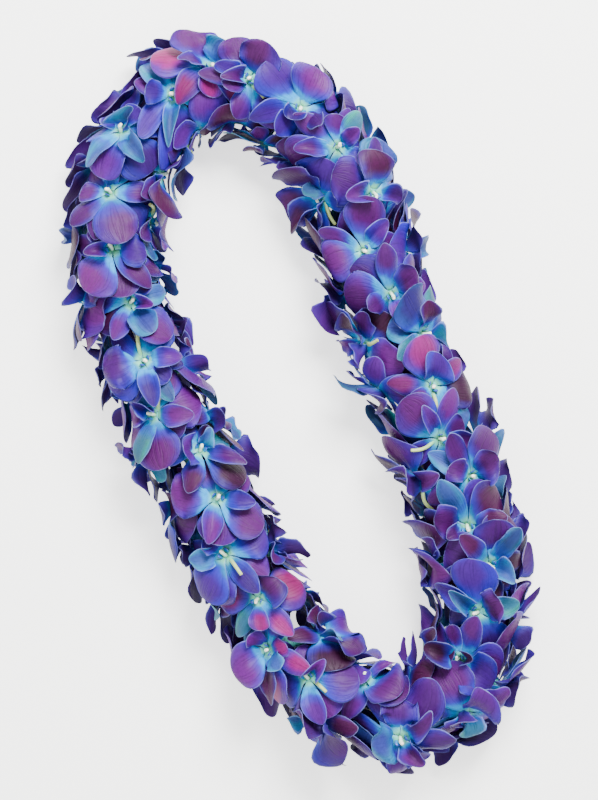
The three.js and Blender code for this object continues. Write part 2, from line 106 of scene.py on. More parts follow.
# Blooms outside a bend of the thread are larger, and their sheets stretch
BEND_GAIN = 7.0
BEND_EVEN = 0.5
TIGHTEST = 0.5
# Below this depth under the thread all is pressed together, down to half a solid blade
FIRM_DEPTH = 11.0
PRESS = 0.66
BLADE = 0.8
# How the rope swells: height, waves along the thread, turns round it and start
SWELLS = [(1.8, 21, 1, 0.0), (1.4, 13, -2, 1.3)]

# The blades of a bloom in order round its heart: kind, direction and how far it may be lifted
BLADES = [
    ("sepal", 90, (0, 65)), ("petal", 166, (0, 38)), ("sepal", 229, (0, 40)),
    ("lip", 270, (32, 48)), ("sepal", 311, (0, 40)), ("petal", 374, (0, 38)),
]
# Of each kind: solid stations as (distance, half width), then the length and half width of
# the full outline, where it is widest and how blunt its tip is, the half width of its root
# and how high it is seated
KINDS = {
    "sepal": {"stations": [(15, 6.4), (28.5, 0)], "outline": (29.0, 7.4, 0.5, 0.62),
              "root": 3.5, "seat": -0.45},
    "petal": {"stations": [(9, 7.6), (19.5, 14.8), (29.5, 7)],
              "outline": (30.5, 15.6, 0.62, 0.5), "root": 3.3, "seat": 0.3},
    "lip": {"stations": [(7.5, 1.6), (15.5, 7)], "outline": (17.0, 7.2, 0.78, 0.5),
            "root": 2.6, "seat": 0.9},
}
# A blade is lifted most at its root; a solid may have only a share of the lift it was dealt
ROOT_LIFT = 1.3
TIP_LIFT = 0.6
LIFT_TRIES = (1, 0.7, 0.4, 0.2, 0)
FURTHEST_MISS = 3.0

# Every blade is a closed shell over this grid, and runs this far down into the heart
ACROSS = np.array([-1, -0.91, -0.67, -0.34, 0, 0.34, 0.67, 0.91, 1])
BODY_ROWS = 8
TIP_ROWS = 7
ROOT_DEPTH = 2.6
# Near its root a blade narrows over these distances to this share of its half width
ROOT_NARROWING = ((-ROOT_DEPTH, 1.5), (0.4, 1))
# A blade's thickness as shares of the set one, at its root and its tip, and what the margin
# loses of it
ROOT_THICKNESS = 1.5
TIP_THICKNESS = 0.6
MARGIN_LOSS = 0.6
# How far blades cup, wave along their margins, turn back at their tips, twist and crease
# along their midlines, as ranges in millimetres, and how many waves a margin has
CUP = (-3.2, 4.2)
WAVE = (0.8, 2.2)
WAVES = (0.9, 2.3)
TURN_BACK = (-0.6, 3.6)
TWIST = (-2.8, 2.8)
CREASE = (0.4, 1.4)
CREASE_WIDTH = 0.16
NARROW_WAVE = 0.6
LIP_CUP = 1.4
LIP_FRILL = 0.7
LIP_FRILLS = 9
# A flat blade takes the first share of these, and one lifted this many degrees takes both
HELD_SHARE = 0.6
LOOSE_SHARE = 0.8
LOOSE_LIFT = 30
RELIEF_TRIES = 4

# The second whorl of a bloom, behind the first and turned into its gaps: the lifts that are
# tried for each size, and the sinks and turns
BACK_BLADES = [("petal", 128), ("sepal", 198), ("sepal", 250), ("sepal", 340), ("petal", 52)]
BACK_LIFTS = {0.94: (4, 15, 26, 38), 0.74: (14, 28, 42, 56)}
BACK_SINKS = (-1.4, -2.8)
BACK_TURNS = (-20, 0, 20)
BACK_RELIEF = 1.6
BACK_DRIFT = 6
BACK_GROWTH = (0.92, 1.06)
# Some of its blades stray further out, and are larger and lifted more
STRAY_SHARE = 0.13
STRAY_REACH = 9.0
STRAY_LIFTS = {1.0: (24, 36, 48, 60)}
# The height and the half width of the rope that it keeps to, and how much of a blade may
# cross what is there or stand outside
HIGHEST = 66.0
WIDEST = 34.0
MOST_CROSSED = 0.06
MOST_BEYOND = 2.5
# The score of a choice, where the least wins: what crossing and standing outside cost, what
# newly filled flank gains, where the flanks begin aside of the thread, and a random tie-break
CROSSING_COST = 2.0
OVERREACH_COST = 0.15
FLANK_GAIN = 0.002
FLANK_START = 17.0
TIE_BREAK = 0.01
# Edge of the cells that show which space is taken, the reach of those cells, how much finer
# than its own grid a blade is read, and how many rows at its root are left out
CELL = 1.6
CELL_REACH = (150, 290, 80)
FINER = (2, 3)
ROOT_ROWS = 3

# How many sides each round body has
SIDES = {"heart": 12, "core": 14, "column": 12, "cap": 10, "stalk": 10, "strand": 6}
# The heart of a bloom as (depth, share of its radius), and the neck from it to the thread,
# whose middle is as (share of its length, share of its end's radius)
HEART_RADIUS = 4.4
HEART_STATIONS = [(2.8, 0.66), (1.7, 0.86), (1.1, 0.8), (0.9, 0.4)]
NECK_DEPTH = 4.5
NECK_RADIUS = 2.5
NECK_END_RADIUS = 1.9
NECK_MIDDLE = (0.55, 1.05)
# The squeezed bases of a node's blooms round its straight stretch of thread
CORE_RADIUS = 4.2
CORE_HALF = 11.0
CORE_STEPS = 9
CORE_SHARES = (0.03, 0.97)
CORE_END = 0.6
CORE_UNEVEN = (0.86, 1.04)
SEAT_SHARES = (0.12, 0.88)

# The column as (share of its length, radius) and its cap as (place on it, radius)
COLUMN_STATIONS = [
    (0, 1.45), (0.25, 1.2), (0.5, 1.05), (0.72, 1.15), (0.86, 1.35), (0.96, 1.1), (1, 0.4),
]
COLUMN_LEAN = 0.34
COLUMN_FOOT = -1.2
CAP_STATIONS = [(-1, 0.3), (-0.75, 0.85), (-0.3, 1.15), (0.2, 1.1), (0.7, 0.75), (1, 0.25)]
CAP_SHARE = 0.9
CAP_SINK = 1.0
CAP_HALF = 0.9
CAP_TILT = 0.25
CAP_AHEAD = 1.25
CAP_REACH = 1.2
# A side lobe of the lip: its turns round the column in degrees, its sizes in millimetres
LOBE = {
    "steps": 6, "thickness": 0.45, "turn": 62, "half_turn": 36, "radius": 2.3, "flare": 1.9,
    "hollow": 0.3, "foot": -0.8, "height": 4.4, "droop": 0.5,
}
# The stalks: the turns and rises that are tried, what one may cross, how they vary, and how
# they come up beside the heart and arch
STALK_TURNS = 14
STALK_RISES = (2.0, 3.2, 4.6)
STALK_CROSSING = 0.02
STALK_OVERREACH_COST = 0.1
STALK_LENGTHS = (0.6, 1.2)
STALK_CURL = 0.35
STALK_STEPS = 13
STALK_ROOT_STEPS = 3
STALK_START = 4.2
STALK_FOOT = 2.0
STALK_ARCH = (0.02, 0.76)
STALK_CLEAR = 1.8
# The knot is a small trefoil: its size, and how much of that it has along each axis
KNOT_SIZE = 0.756
KNOT_SHAPE = (0.8, 0.8, 1.0)
KNOT_STEPS = 40

# Dyes as the colour of a petal and of the blush across it
DYES = {
    "blue": ("24107E", "3C0C74"),
    "indigo": ("360D76", "4C0D70"),
    "violet": ("400C6E", "520C66"),
    "magenta": ("3E0D70", "560D66"),
    "hot": ("440D6E", "800D5A"),
    "rosy": ("401170", "581462"),
    "pink": ("461170", "7A1E66"),
    "plum": ("30083E", "3E0A38"),
    "cyan": ("1A3A80", "30207C"),
    "teal": ("146C8C", "30388C"),
    "sea": ("1C7874", "265C84"),
}
DYE_DEPTHS = (0.5, 1.16)
DYE_SCATTER = 0.15
BLUSH_ASIDE = 0.35
NARROW_BLUSH = 0.45
FAR_FROM_RIM = 4.0
# The share of sepals that take a green-blue dye, and how many of those are teal
TEAL_SEPALS = 0.24
TEAL_SHARE = 0.6
# The dyes of the side blooms, of those low down, and of the second whorl, in the middle of
# the rope and at its flanks. Those low down and at the flanks lean to dark plum: partly their
# dye, partly painted shade, as the rope's underside and flanks lie in shade
SIDE_DYES = ("violet", "plum", "magenta", "blue", "plum", "rosy", "indigo")
LOW_DYES_WITH_SHADE = ("plum", "plum", "magenta", "plum", "violet")
LOW_SINE = -0.35
BACK_DYES = ("plum", "violet", "indigo", "magenta", "blue", "violet", "teal")
FLANK_DYES_WITH_SHADE = ("plum", "plum", "violet", "plum", "magenta", "indigo", "rosy", "teal")
DEEP_FLANK = 23.0

# The photograph's view, from the middle of its frame
VIEW_CENTRE = (4.7, 2.9)
VIEW_TURN = -22.0
VIEW_SPAN = 544.0
VIEW_DISTANCE = 1500.0
SENSOR = 36.0
# Where each light stands, in metres, and its side
KEY_LIGHT = ((0.75, 0.85, 1.35), 0.8)
FILL_LIGHT = ((-0.95, -0.5, 1.1), 1.4)
UP = np.array([0.0, 0.0, 1.0])


# Colours and the lay-out rule


def hex_colour(code):
    """A colour written as RRGGBB, as the linear values that a socket takes."""
    shares = [int(code[k : k + 2], 16) / 255 for k in (0, 2, 4)]
    linear = [s / 12.92 if s <= 0.04045 else ((s + 0.055) / 1.055) ** 2.4 for s in shares]
    return (*linear, 1.0)


def smooth(share):
    """Runs from 0 to 1 with level ends."""
    share = np.clip(share, 0, 1)
    return share * share * (3 - 2 * share)


def of_node(blooms, node):
    """The blooms that a node holds."""
    return blooms[node * BLOOMS_PER_NODE : (node + 1) * BLOOMS_PER_NODE]


class Thread:
    """The thread's path as a smooth closed curve, read by the length along it."""

    def __init__(self, points):
        points = np.array(points, float)
        per_span = PATH_STEPS // len(points)
        t = (np.arange(per_span) / per_span)[:, None]
        spans = []
        for k in range(len(points)):
            before, here, after, later = (points[(k + n) % len(points)] for n in (-1, 0, 1, 2))
            spans.append(
                0.5 * (
                    2 * here + (after - before) * t
                    + (2 * before - 5 * here + 4 * after - later) * t**2
                    + (3 * here - before - 3 * after + later) * t**3
                )
            )
        samples = np.vstack(spans)
        for _ in range(EASE_ROUNDS):
            window = range(-EASE_STEPS, EASE_STEPS + 1)
            samples = sum(np.roll(samples, -step, axis=0) for step in window) / len(window)
        self.samples = np.vstack([samples, samples[:1]])
        steps = np.linalg.norm(np.diff(self.samples, axis=0), axis=1)
        self.lengths = np.concatenate([[0.0], np.cumsum(steps)])
        self.total = self.lengths[-1]

    def point(self, along):
        wrapped = np.mod(along, self.total)
        columns = [np.interp(wrapped, self.lengths, self.samples[:, k]) for k in (0, 1)]
        return np.stack(columns, axis=-1)

    def direction(self, along):
        step = self.point(along + TANGENT_REACH) - self.point(along - TANGENT_REACH)
        return step / np.linalg.norm(step, axis=-1, keepdims=True)

    def bend(self, along):
        before = self.direction(along - BEND_REACH)
        after = self.direction(along + BEND_REACH)
        turn = before[..., 0] * after[..., 1] - before[..., 1] * after[..., 0]
        return np.arcsin(turn) / (2 * BEND_REACH)

    def swell(self, along, angle):
        round_ = 2 * math.pi * along / self.total
        return sum(
            height * np.sin(waves * round_ + turns * angle + phase)
            for height, waves, turns, phase in SWELLS
        )

    def place(self, along, angle, radius):
        """Points by the length along the thread, the angle round it and the distance."""
        centre = self.point(along)
        direction = self.direction(along)
        across = radius * np.cos(angle)
        height = THREAD_HEIGHT + radius * np.sin(angle)
        depth = THREAD_HEIGHT - height
        pressed = np.maximum(
            THREAD_HEIGHT - (FIRM_DEPTH + (depth - FIRM_DEPTH) * PRESS), BLADE / 2
        )
        x = centre[..., 0] + direction[..., 1] * across
        y = centre[..., 1] - direction[..., 0] * across
        return np.stack([x, y, np.where(depth <= FIRM_DEPTH, height, pressed)], axis=-1)


def level_of(thread, node, side):
    """Where a bloom is strung: evenly between those that face up."""
    own = FACING[node][0]
    following = FACING[(node + side) % len(FACING)][0]
    rounds = round((own - following) / thread.total)
    return own + (following + rounds * thread.total - own) / BLOOMS_PER_NODE


def deal_blooms(thread):
    """Every bloom's place, turn, size and wished lifts, in the order of the nodes."""
    state = SEED

    def draw():
        nonlocal state
        state = (state * DRAW_FACTOR + DRAW_STEP) % DRAW_RANGE
        return state / DRAW_RANGE

    rows = []
    for i in range(len(FACING) * BLOOMS_PER_NODE):
        node, side = i // BLOOMS_PER_NODE, i % BLOOMS_PER_NODE - 1
        level = level_of(thread, node, side)
        _, across, facing_spin, dye = FACING[node]
        slip_along = SLIP_ALONG * (2 * draw() - 1)
        slip = math.radians(side * SIDE_TURN + SLIP_AROUND * (2 * draw() - 1))
        spin = 360 * draw()
        facing = math.acos(across / HUB_HEIGHT)
        size = SMALLEST + (LARGEST - SMALLEST) * draw()
        wishes = [math.radians(low + (high - low) * draw()) for _, _, (low, high) in BLADES]
        along = level if side == 0 else level + slip_along
        angle = facing if side == 0 else facing + slip
        bend = float(thread.bend(along))
        size *= 1 + BEND_GAIN * bend * (BEND_EVEN + math.cos(angle))
        rows.append({
            "node": node, "side": side, "level": level, "along": along, "angle": angle,
            "spin": math.radians(facing_spin if side == 0 else spin), "size": size,
            "bend": bend, "wishes": wishes, "dye": dye,
        })
    return rows


def on_bloom(thread, bloom, x, y, rise):
    """Places on a bloom's sheet: x runs along the thread and y round it."""
    base = HUB_HEIGHT + (bloom["along"] - bloom["level"] + x) * LEAN + rise
    angle = bloom["angle"] + y / base
    stretch = np.maximum(TIGHTEST, 1 + bloom["bend"] * base * np.cos(angle))
    along = bloom["along"] + x / stretch
    return thread.place(along, angle, base + thread.swell(along, angle))


def on_blade(thread, bloom, turn, lift, length, distance, off, relief=0.0, seat=0.0):
    """Places on a blade, by the distance from its root, off its midline and off its face."""
    start = ROOT_LIFT * lift
    curl = np.maximum((ROOT_LIFT - TIP_LIFT) * lift / length, 1e-9)
    pitch = start - curl * distance
    out = (np.sin(start) - np.sin(pitch)) / curl
    rise = (np.cos(pitch) - np.cos(start)) / curl
    direction = bloom["spin"] + np.radians(turn - 90)
    size = bloom["size"]
    reach = HEART_RADIUS + (out - relief * np.sin(pitch)) * size
    x = reach * np.cos(direction) - off * size * np.sin(direction)
    y = reach * np.sin(direction) + off * size * np.cos(direction)
    return on_bloom(thread, bloom, x, y, (rise + relief * np.cos(pitch) + seat) * size)


def read_lifts(thread, blooms):
    """How far each blade is lifted, as its node's solid shows it."""
    offset = Vector((*RING_OFFSET, 0))
    for node in range(len(FACING)):
        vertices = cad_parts[f"blooms_{node + 1:02d}"].data.vertices
        tree = kdtree.KDTree(len(vertices))
        for index, vertex in enumerate(vertices):
            tree.insert(vertex.co / MM - offset, index)
        tree.balance()
        for bloom in of_node(blooms, node):
            bloom["lifts"] = [
                best_lift(thread, bloom, tree, blade, wish)
                for blade, wish in zip(BLADES, bloom["wishes"])
            ]


def best_lift(thread, bloom, tree, blade, wish):
    """The lift whose stations lie nearest to the solid's corners."""
    kind, turn, _ = blade
    stations = KINDS[kind]["stations"]
    distance = np.array([d for d, _ in stations for _ in (-1, 1)], float)
    off = np.array([half * sign for _, half in stations for sign in (-1, 1)], float)

    def miss(lift):
        points = on_blade(thread, bloom, turn, lift, stations[-1][0], distance, off)
        return sum(min(tree.find(Vector(point))[2], FURTHEST_MISS) for point in points)

    return min((wish * share for share in LIFT_TRIES), key=miss)


# Thin shells: one grid of middle points becomes a closed leaf with a sharp margin


def shell_faces(rows, columns):
    """Corner lists of the closed shell over rows of points that end in one tip point."""
    inner = columns - 2

    def corner(side, i, j):
        if i == rows:
            return rows * (2 * inner + 2)
        if j == 0 or j == columns - 1:
            return rows * 2 * inner + 2 * i + (1 if j else 0)
        return side * rows * inner + i * inner + j - 1

    faces = []
    for j in range(columns - 1):
        for i in range(rows):
            square = [(i, j), (i + 1, j), (i + 1, j + 1), (i, j + 1)]
            faces.append([corner(0, *place) for place in square])
            faces.append([corner(1, *place) for place in reversed(square)])
        faces.append([corner(0, 0, j), corner(0, 0, j + 1), corner(1, 0, j + 1), corner(1, 0, j)])
    return [list(dict.fromkeys(face)) for face in faces]


BLADE_FACES = shell_faces(BODY_ROWS + TIP_ROWS, len(ACROSS))


def shell_points(middle, thickness):
    """Points of closed shells from their middle points, as [..., rows + 1, columns, 3]."""
    along = np.gradient(middle, axis=-3)
    across = np.gradient(middle, axis=-2)
    normal = np.cross(along, across)
    length = np.linalg.norm(normal, axis=-1, keepdims=True)
    normal /= np.maximum(length, 1e-12)
    half = normal[..., :-1, 1:-1, :] * thickness[..., :-1, 1:-1, None] / 2
    inside = middle[..., :-1, 1:-1, :]
    parts = [inside + half, inside - half, middle[..., :-1, ::middle.shape[-2] - 1, :]]
    flat = [part.reshape(*part.shape[:-3], -1, 3) for part in parts]
    return np.concatenate([*flat, middle[..., -1, :1, :]], axis=-2)


def shell_values(values, side=False):
    """The values of a grid in the order of shell_points; side gives 1 in front, 0 behind."""
    inside = values[..., :-1, 1:-1]
    parts = [inside * 0 + 1, inside * 0] if side else [inside, inside]
    margin = values[..., :-1, :: values.shape[-1] - 1]
    tip = values[..., -1, :1]
    if side:
        margin, tip = margin * 0 + 0.5, tip * 0 + 0.5
    flat = [part.reshape(*part.shape[:-2], -1) for part in (*parts, margin)]
    return np.concatenate([*flat, tip], axis=-1)


def build_mesh(name, points, faces, values):
    """A smooth mesh in metres from points in millimetres, with named values at its points."""
    mesh = bpy.data.meshes.new(name)
    mesh.from_pydata(np.asarray(points, float) * MM, [], faces)
    for key, numbers in values.items():
        numbers = np.asarray(numbers, np.float32)
        kind, field = ("FLOAT", "value") if numbers.ndim == 1 else ("FLOAT_VECTOR", "vector")
        attribute = mesh.attributes.new(key, kind, "POINT")
        attribute.data.foreach_set(field, numbers.ravel())
    mesh.shade_smooth()
    mesh.update()
    return mesh


def all_over(points, values):
    """The same values at every point of a body."""
    return {key: np.full((len(points), *np.shape(value)), value) for key, value in values.items()}


def joined(bodies):
    """The points, faces and values of several bodies as those of one."""
    faces = []
    count = 0
    for points, own_faces, _ in bodies:
        faces += [[corner + count for corner in face] for face in own_faces]
        count += len(points)
    values = {key: np.concatenate([own[key] for _, _, own in bodies]) for key in bodies[0][2]}
    return np.vstack([points for points, _, _ in bodies]), faces, values


def tube(centres, radii, sides, sideways):
    """A round closed body along a line of centres: its points and its faces."""
    centres = np.asarray(centres, float)
    ahead = np.gradient(centres, axis=0)
    ahead /= np.linalg.norm(ahead, axis=1, keepdims=True)
    u = sideways - ahead * (ahead @ sideways)[:, None]
    u /= np.linalg.norm(u, axis=1, keepdims=True)
    v = np.cross(ahead, u)
    turn = 2 * math.pi * np.arange(sides) / sides
    ring = np.cos(turn)[None, :, None] * u[:, None] + np.sin(turn)[None, :, None] * v[:, None]
    points = (centres[:, None] + ring * np.asarray(radii, float)[:, None, None]).reshape(-1, 3)
    faces = []
    for k in range(len(centres) - 1):
        for n in range(sides):
            m = (n + 1) % sides
            faces.append([k * sides + n, k * sides + m, (k + 1) * sides + m, (k + 1) * sides + n])
    faces.append(list(range(sides))[::-1])
    faces.append([(len(centres) - 1) * sides + n for n in range(sides)])
    return points, faces


# Petals


@cache
def blade_grid(kind):
    """Distance from the root, half width and share of the length for each row of a blade."""
    length, widest, at, blunt = KINDS[kind]["outline"]
    body = np.linspace(-ROOT_DEPTH / length, at, BODY_ROWS + 1)[:-1]
    tip = at + (1 - at) * np.sin(np.linspace(0, math.pi / 2, TIP_ROWS + 1))
    share = np.concatenate([body, tip])
    root = KINDS[kind]["root"]
    rising = root + (widest - root) * np.sin(math.pi / 2 * np.clip(share / at, 0, 1)) ** 1.15
    rising = rising * np.interp(share * length, *ROOT_NARROWING)
    past = np.clip((share - at) / (1 - at), 0, 1)
    falling = widest * (1 - past ** (1.2 + 1.6 * (1 - blunt))) ** blunt
    half = np.where(share < at, rising, falling)
    half[-1] = 0
    return share * length, half, share


def blade_relief(rng, kind, lift, gain=1.0):
    """How a blade cups, waves and turns back off its even face, in millimetres."""
    _, half, share = blade_grid(kind)
    share = np.clip(share, 0, 1)
    loose = HELD_SHARE + LOOSE_SHARE * min(lift / math.radians(LOOSE_LIFT), 1)
    cup = rng.uniform(*CUP) * loose
    wave = rng.uniform(*WAVE) * loose * (1.0 if kind == "petal" else NARROW_WAVE)
    waves = rng.uniform(*WAVES)
    phase = rng.uniform(0, 2 * math.pi)
    turn_back = rng.uniform(*TURN_BACK) * loose
    twist = rng.uniform(*TWIST) * loose
    crease = rng.uniform(*CREASE)
    u, v = share[:, None], ACROSS[None, :]
    narrow = half[:, None] / half.max()
    relief = cup * (v * narrow) ** 2 * np.sin(math.pi * (u * 0.9 + 0.1))
    swing = np.sin(2 * math.pi * waves * u + phase + 1.7 * v)
    relief = relief + wave * np.abs(v) ** 3 * narrow * swing * smooth(u * 2)
    relief = relief - turn_back * u**3 + twist * v * narrow * u
    relief = relief - crease * np.exp(-((v / CREASE_WIDTH) ** 2)) * (1 - u) * smooth(u * 4)
    if kind == "lip":
        relief = relief + LIP_CUP * (v * narrow) ** 2 * smooth(u * 1.4)
        frills = narrow * np.sin(LIP_FRILLS * v + phase) * smooth((u - 0.7) * 4)
        relief = relief + LIP_FRILL * frills
    return relief * gain


class Space:
    """Marks which cells of the space round the thread are taken, and how high from above."""

    def __init__(self, thread):
        self.origin = np.array([-CELL_REACH[0], -CELL_REACH[1], -CELL], float)
        counts = [2 * CELL_REACH[0], 2 * CELL_REACH[1], CELL_REACH[2]]
        self.taken = np.zeros([int(c / CELL) + 2 for c in counts], bool)
        x, y = (np.arange(self.taken.shape[k]) * CELL + self.origin[k] for k in (0, 1))
        self.aside = np.full((len(x), len(y)), np.inf)
        for near_x, near_y in thread.point(np.linspace(0, thread.total, PATH_STEPS // 4)):
            gap = np.hypot(x[:, None] - near_x, y[None, :] - near_y)
            self.aside = np.minimum(self.aside, gap)
        self.top = np.zeros(self.aside.shape)

    def cells(self, points):
        where = ((points.reshape(-1, 3) - self.origin) / CELL).astype(int)
        return tuple(np.clip(where, 0, np.array(self.taken.shape) - 1).T)

    def take(self, points):
        x, y, z = self.cells(points)
        self.taken[x, y, z] = True
        np.maximum.at(self.top, (x, y), points[:, 2])

    def share_taken(self, points):
        return float(self.taken[self.cells(points)].mean())

    def overreach(self, points, stray=0.0):
        """How far points stand outside the lei's plan or above its top, on average."""
        x, y, _ = self.cells(points)
        beyond = np.maximum(self.aside[x, y] - WIDEST - stray, 0)
        above = max(float(points[:, 2].max()) - HIGHEST, 0.0)
        return float(beyond.mean()) + above

    def far_aside(self, points):
        """How far aside of the thread points lie on average, as seen from above."""
        x, y, _ = self.cells(points)
        return float(self.aside[x, y].mean())

    def flank_filled(self, points):
        """The area of the flanks that points would newly cover, as seen from above."""
        x, y, _ = self.cells(points)
        fills = (self.aside[x, y] > FLANK_START) & (self.aside[x, y] < WIDEST + STRAY_REACH)
        fills &= points[:, 2] > self.top[x, y] + 1
        return len(np.unique(x[fills] * self.top.shape[1] + y[fills])) * CELL**2


def blade_middle(thread, bloom, blade):
    """The middle points of a blade as a grid of rows from its root to its tip."""
    kind = blade["kind"]
    distance, half, _ = blade_grid(kind)
    off = half[:, None] * ACROSS[None, :] * blade["size"]
    reach = distance[:, None] * blade["size"] + 0 * off
    length = KINDS[kind]["stations"][-1][0]
    return on_blade(
        thread, bloom, blade["turn"], blade["lift"], length, reach, off, blade["relief"],
        blade["seat"],
    )


def between_points(middle):
    """A blade's points past its root, with enough between them that none slips past Space."""
    grid = middle[ROOT_ROWS:]
    for axis, parts in enumerate(FINER):
        at = np.arange((grid.shape[axis] - 1) * parts + 1) / parts
        low = np.minimum(at.astype(int), grid.shape[axis] - 2)
        share = (at - low).reshape([-1, 1, 1] if axis == 0 else [1, -1, 1])
        grid = np.take(grid, low, axis) * (1 - share) + np.take(grid, low + 1, axis) * share
    return grid.reshape(-1, 3)


def choose_blade(thread, bloom, space, choices, rng):
    """Keeps the choice that crosses least of what is there, and takes its space.

    A blade of the second whorl that finds no room is left out: then there is no choice. The
    outer half of a blade counts twice, because it shows most.
    """
    best, least = None, math.inf
    for choice in choices:
        points = between_points(blade_middle(thread, bloom, choice))
        crossed = space.share_taken(points) + space.share_taken(points[len(points) // 2 :])
        beyond = space.overreach(points, choice["stray"])
        if choice["whorl"] and (crossed > MOST_CROSSED or beyond > MOST_BEYOND):
            continue
        score = crossed * CROSSING_COST + beyond * OVERREACH_COST + rng.uniform(0, TIE_BREAK)
        if choice["whorl"]:
            score -= space.flank_filled(points) * FLANK_GAIN
        if score < least:
            best, least, kept = choice, score, points
    if best:
        space.take(kept)
        best["aside"] = space.far_aside(kept)
    return best


def front_choices(rng, kind, turn, lift):
    """Shapes to try for a blade of the first whorl, whose place its solid gives."""
    blade = {"kind": kind, "turn": turn, "lift": lift, "seat": KINDS[kind]["seat"], "size": 1.0,
             "whorl": 0, "stray": 0.0}
    return [{**blade, "relief": blade_relief(rng, kind, lift)} for _ in range(RELIEF_TRIES)]


def back_choices(rng, kind, turn):
    """Shapes and places to try for a blade of the second whorl."""
    drift = rng.uniform(-BACK_DRIFT, BACK_DRIFT)
    growth = rng.uniform(*BACK_GROWTH)
    stray = STRAY_REACH if rng.random() < STRAY_SHARE else 0.0
    lifts = STRAY_LIFTS if stray else BACK_LIFTS
    sized_lifts = [(size, math.radians(lift)) for size, steps in lifts.items() for lift in steps]
    return [
        {"kind": kind, "turn": turn + drift + aside, "lift": lift, "seat": sink,
         "size": size * growth, "whorl": 1, "stray": stray,
         "relief": blade_relief(rng, kind, lift, BACK_RELIEF)}
        for (size, lift), sink, aside in product(sized_lifts, BACK_SINKS, BACK_TURNS)
    ]


def plan_blades(thread, blooms):
    """Gives every bloom its blades; the second whorl goes where most space is left."""
    rng = np.random.default_rng(SEED)
    space = Space(thread)
    for bloom in blooms:
        bloom["blades"] = []
        for (kind, turn, _), lift in zip(BLADES, bloom["lifts"]):
            choices = front_choices(rng, kind, turn, lift)
            bloom["blades"].append(choose_blade(thread, bloom, space, choices, rng))
    for bloom in blooms:
        for kind, turn in BACK_BLADES:
            blade = choose_blade(thread, bloom, space, back_choices(rng, kind, turn), rng)
            if blade:
                bloom["blades"].append(blade)
    return space


def dye_colours(dye):
    """A dye's petal and blush colours."""
    return [np.array(hex_colour(code)[:3]) for code in DYES[dye]]


def blade_dye(bloom, blade, rng):
    """The dye that a blade wears."""
    if blade["kind"] == "sepal" and rng.random() < TEAL_SEPALS:
        return "teal" if rng.random() < TEAL_SHARE else "sea"
    if blade["whorl"]:
        # Blades far out on the flanks lean to dark plum, partly as painted shade
        dyes = FLANK_DYES_WITH_SHADE if blade["aside"] > DEEP_FLANK else BACK_DYES
        return dyes[rng.integers(len(dyes))]
    return bloom["worn"]


def blade_body(thread, bloom, blade, rng, thickness):
    """A blade as a closed shell, with the values that its material reads.

    They are its place along, across and in from the rim, its front, its two colours and its
    habit: how far the throat's colours run out, where the blush lies and how broad it is.
    """
    distance, half, share = blade_grid(blade["kind"])
    middle = blade_middle(thread, bloom, blade)
    thick = thickness * np.interp(share, (0, 1), (ROOT_THICKNESS, TIP_THICKNESS))[:, None]
    thick = thick * np.sqrt(1 - MARGIN_LOSS * ACROSS[None, :] ** 2)
    middle[..., 2] = np.maximum(middle[..., 2], thick.max() / 2)
    points = shell_points(middle, thick)
    rim = half[:, None] * (1 - np.abs(ACROSS))
    rim = np.minimum(rim, (distance[-1] - distance)[:, None]) * blade["size"]
    grid = np.ones_like(rim)
    place = [share[:, None] * grid, ACROSS[None, :] * grid, rim]
    body, blush = dye_colours(blade_dye(bloom, blade, rng))
    depth = rng.uniform(*DYE_DEPTHS)
    scatter = 1 + DYE_SCATTER * rng.uniform(-1, 1, 3)
    broad = 1.0 if blade["kind"] == "petal" else NARROW_BLUSH
    habit = (rng.uniform(0, 1), rng.uniform(-BLUSH_ASIDE, BLUSH_ASIDE), broad)
    return points, BLADE_FACES, {
        "petal_place": np.stack([shell_values(p) for p in place], axis=-1),
        "petal_front": shell_values(grid, side=True),
        **all_over(points, {
            "petal_body": body * depth * scatter, "petal_blush": blush * depth, "petal_habit": habit,
        }),
    }


def bloom_bodies(thread, bloom, rng, thickness):
    """All the blades of a bloom."""
    # Blooms low on the rope lean to dark plum, partly as painted shade
    side_dyes = SIDE_DYES if math.sin(bloom["angle"]) > LOW_SINE else LOW_DYES_WITH_SHADE
    side_dye = side_dyes[rng.integers(len(side_dyes))]
    bloom["worn"] = bloom["dye"] if bloom["side"] == 0 else side_dye
    return [blade_body(thread, bloom, blade, rng, thickness) for blade in bloom["blades"]]


def heart_frame(thread, bloom):
    """The middle of a bloom's heart, and its directions along, around and outwards."""
    centre = on_bloom(thread, bloom, 0.0, 0.0, 0.0)
    along = on_bloom(thread, bloom, 1.0, 0.0, 0.0) - on_bloom(thread, bloom, -1.0, 0.0, 0.0)
    around = on_bloom(thread, bloom, 0.0, 1.0, 0.0) - on_bloom(thread, bloom, 0.0, -1.0, 0.0)
    along /= np.linalg.norm(along)
    around /= np.linalg.norm(around)
    return centre, along, around, np.cross(along, around)


def heart_solid(thread, bloom):
    """The body that joins a bloom's blades and runs back to the thread, squeezed thin."""
    centre, along, _, normal = bloom["heart"]
    start, end = core_ends(thread, bloom["node"])
    share = 0.5 + (bloom["along"] - FACING[bloom["node"]][0]) / (2 * CORE_HALF)
    seat = start + (end - start) * np.clip(share, *SEAT_SHARES)
    neck = centre - normal * NECK_DEPTH
    line = [seat, seat + (neck - seat) * NECK_MIDDLE[0], neck]
    line += [centre - normal * depth for depth, _ in HEART_STATIONS]
    heart = HEART_RADIUS * bloom["size"]
    radii = [NECK_END_RADIUS, NECK_END_RADIUS * NECK_MIDDLE[1], NECK_RADIUS]
    radii += [heart * share for _, share in HEART_STATIONS]
    return tube(line, radii, SIDES["heart"], along)


def core_ends(thread, node):
    """The ends of the straight stretch of thread that a node's blooms are squeezed round."""
    middle = FACING[node][0]
    return [np.append(thread.point(middle + reach), THREAD_HEIGHT) for reach in (-CORE_HALF, CORE_HALF)]


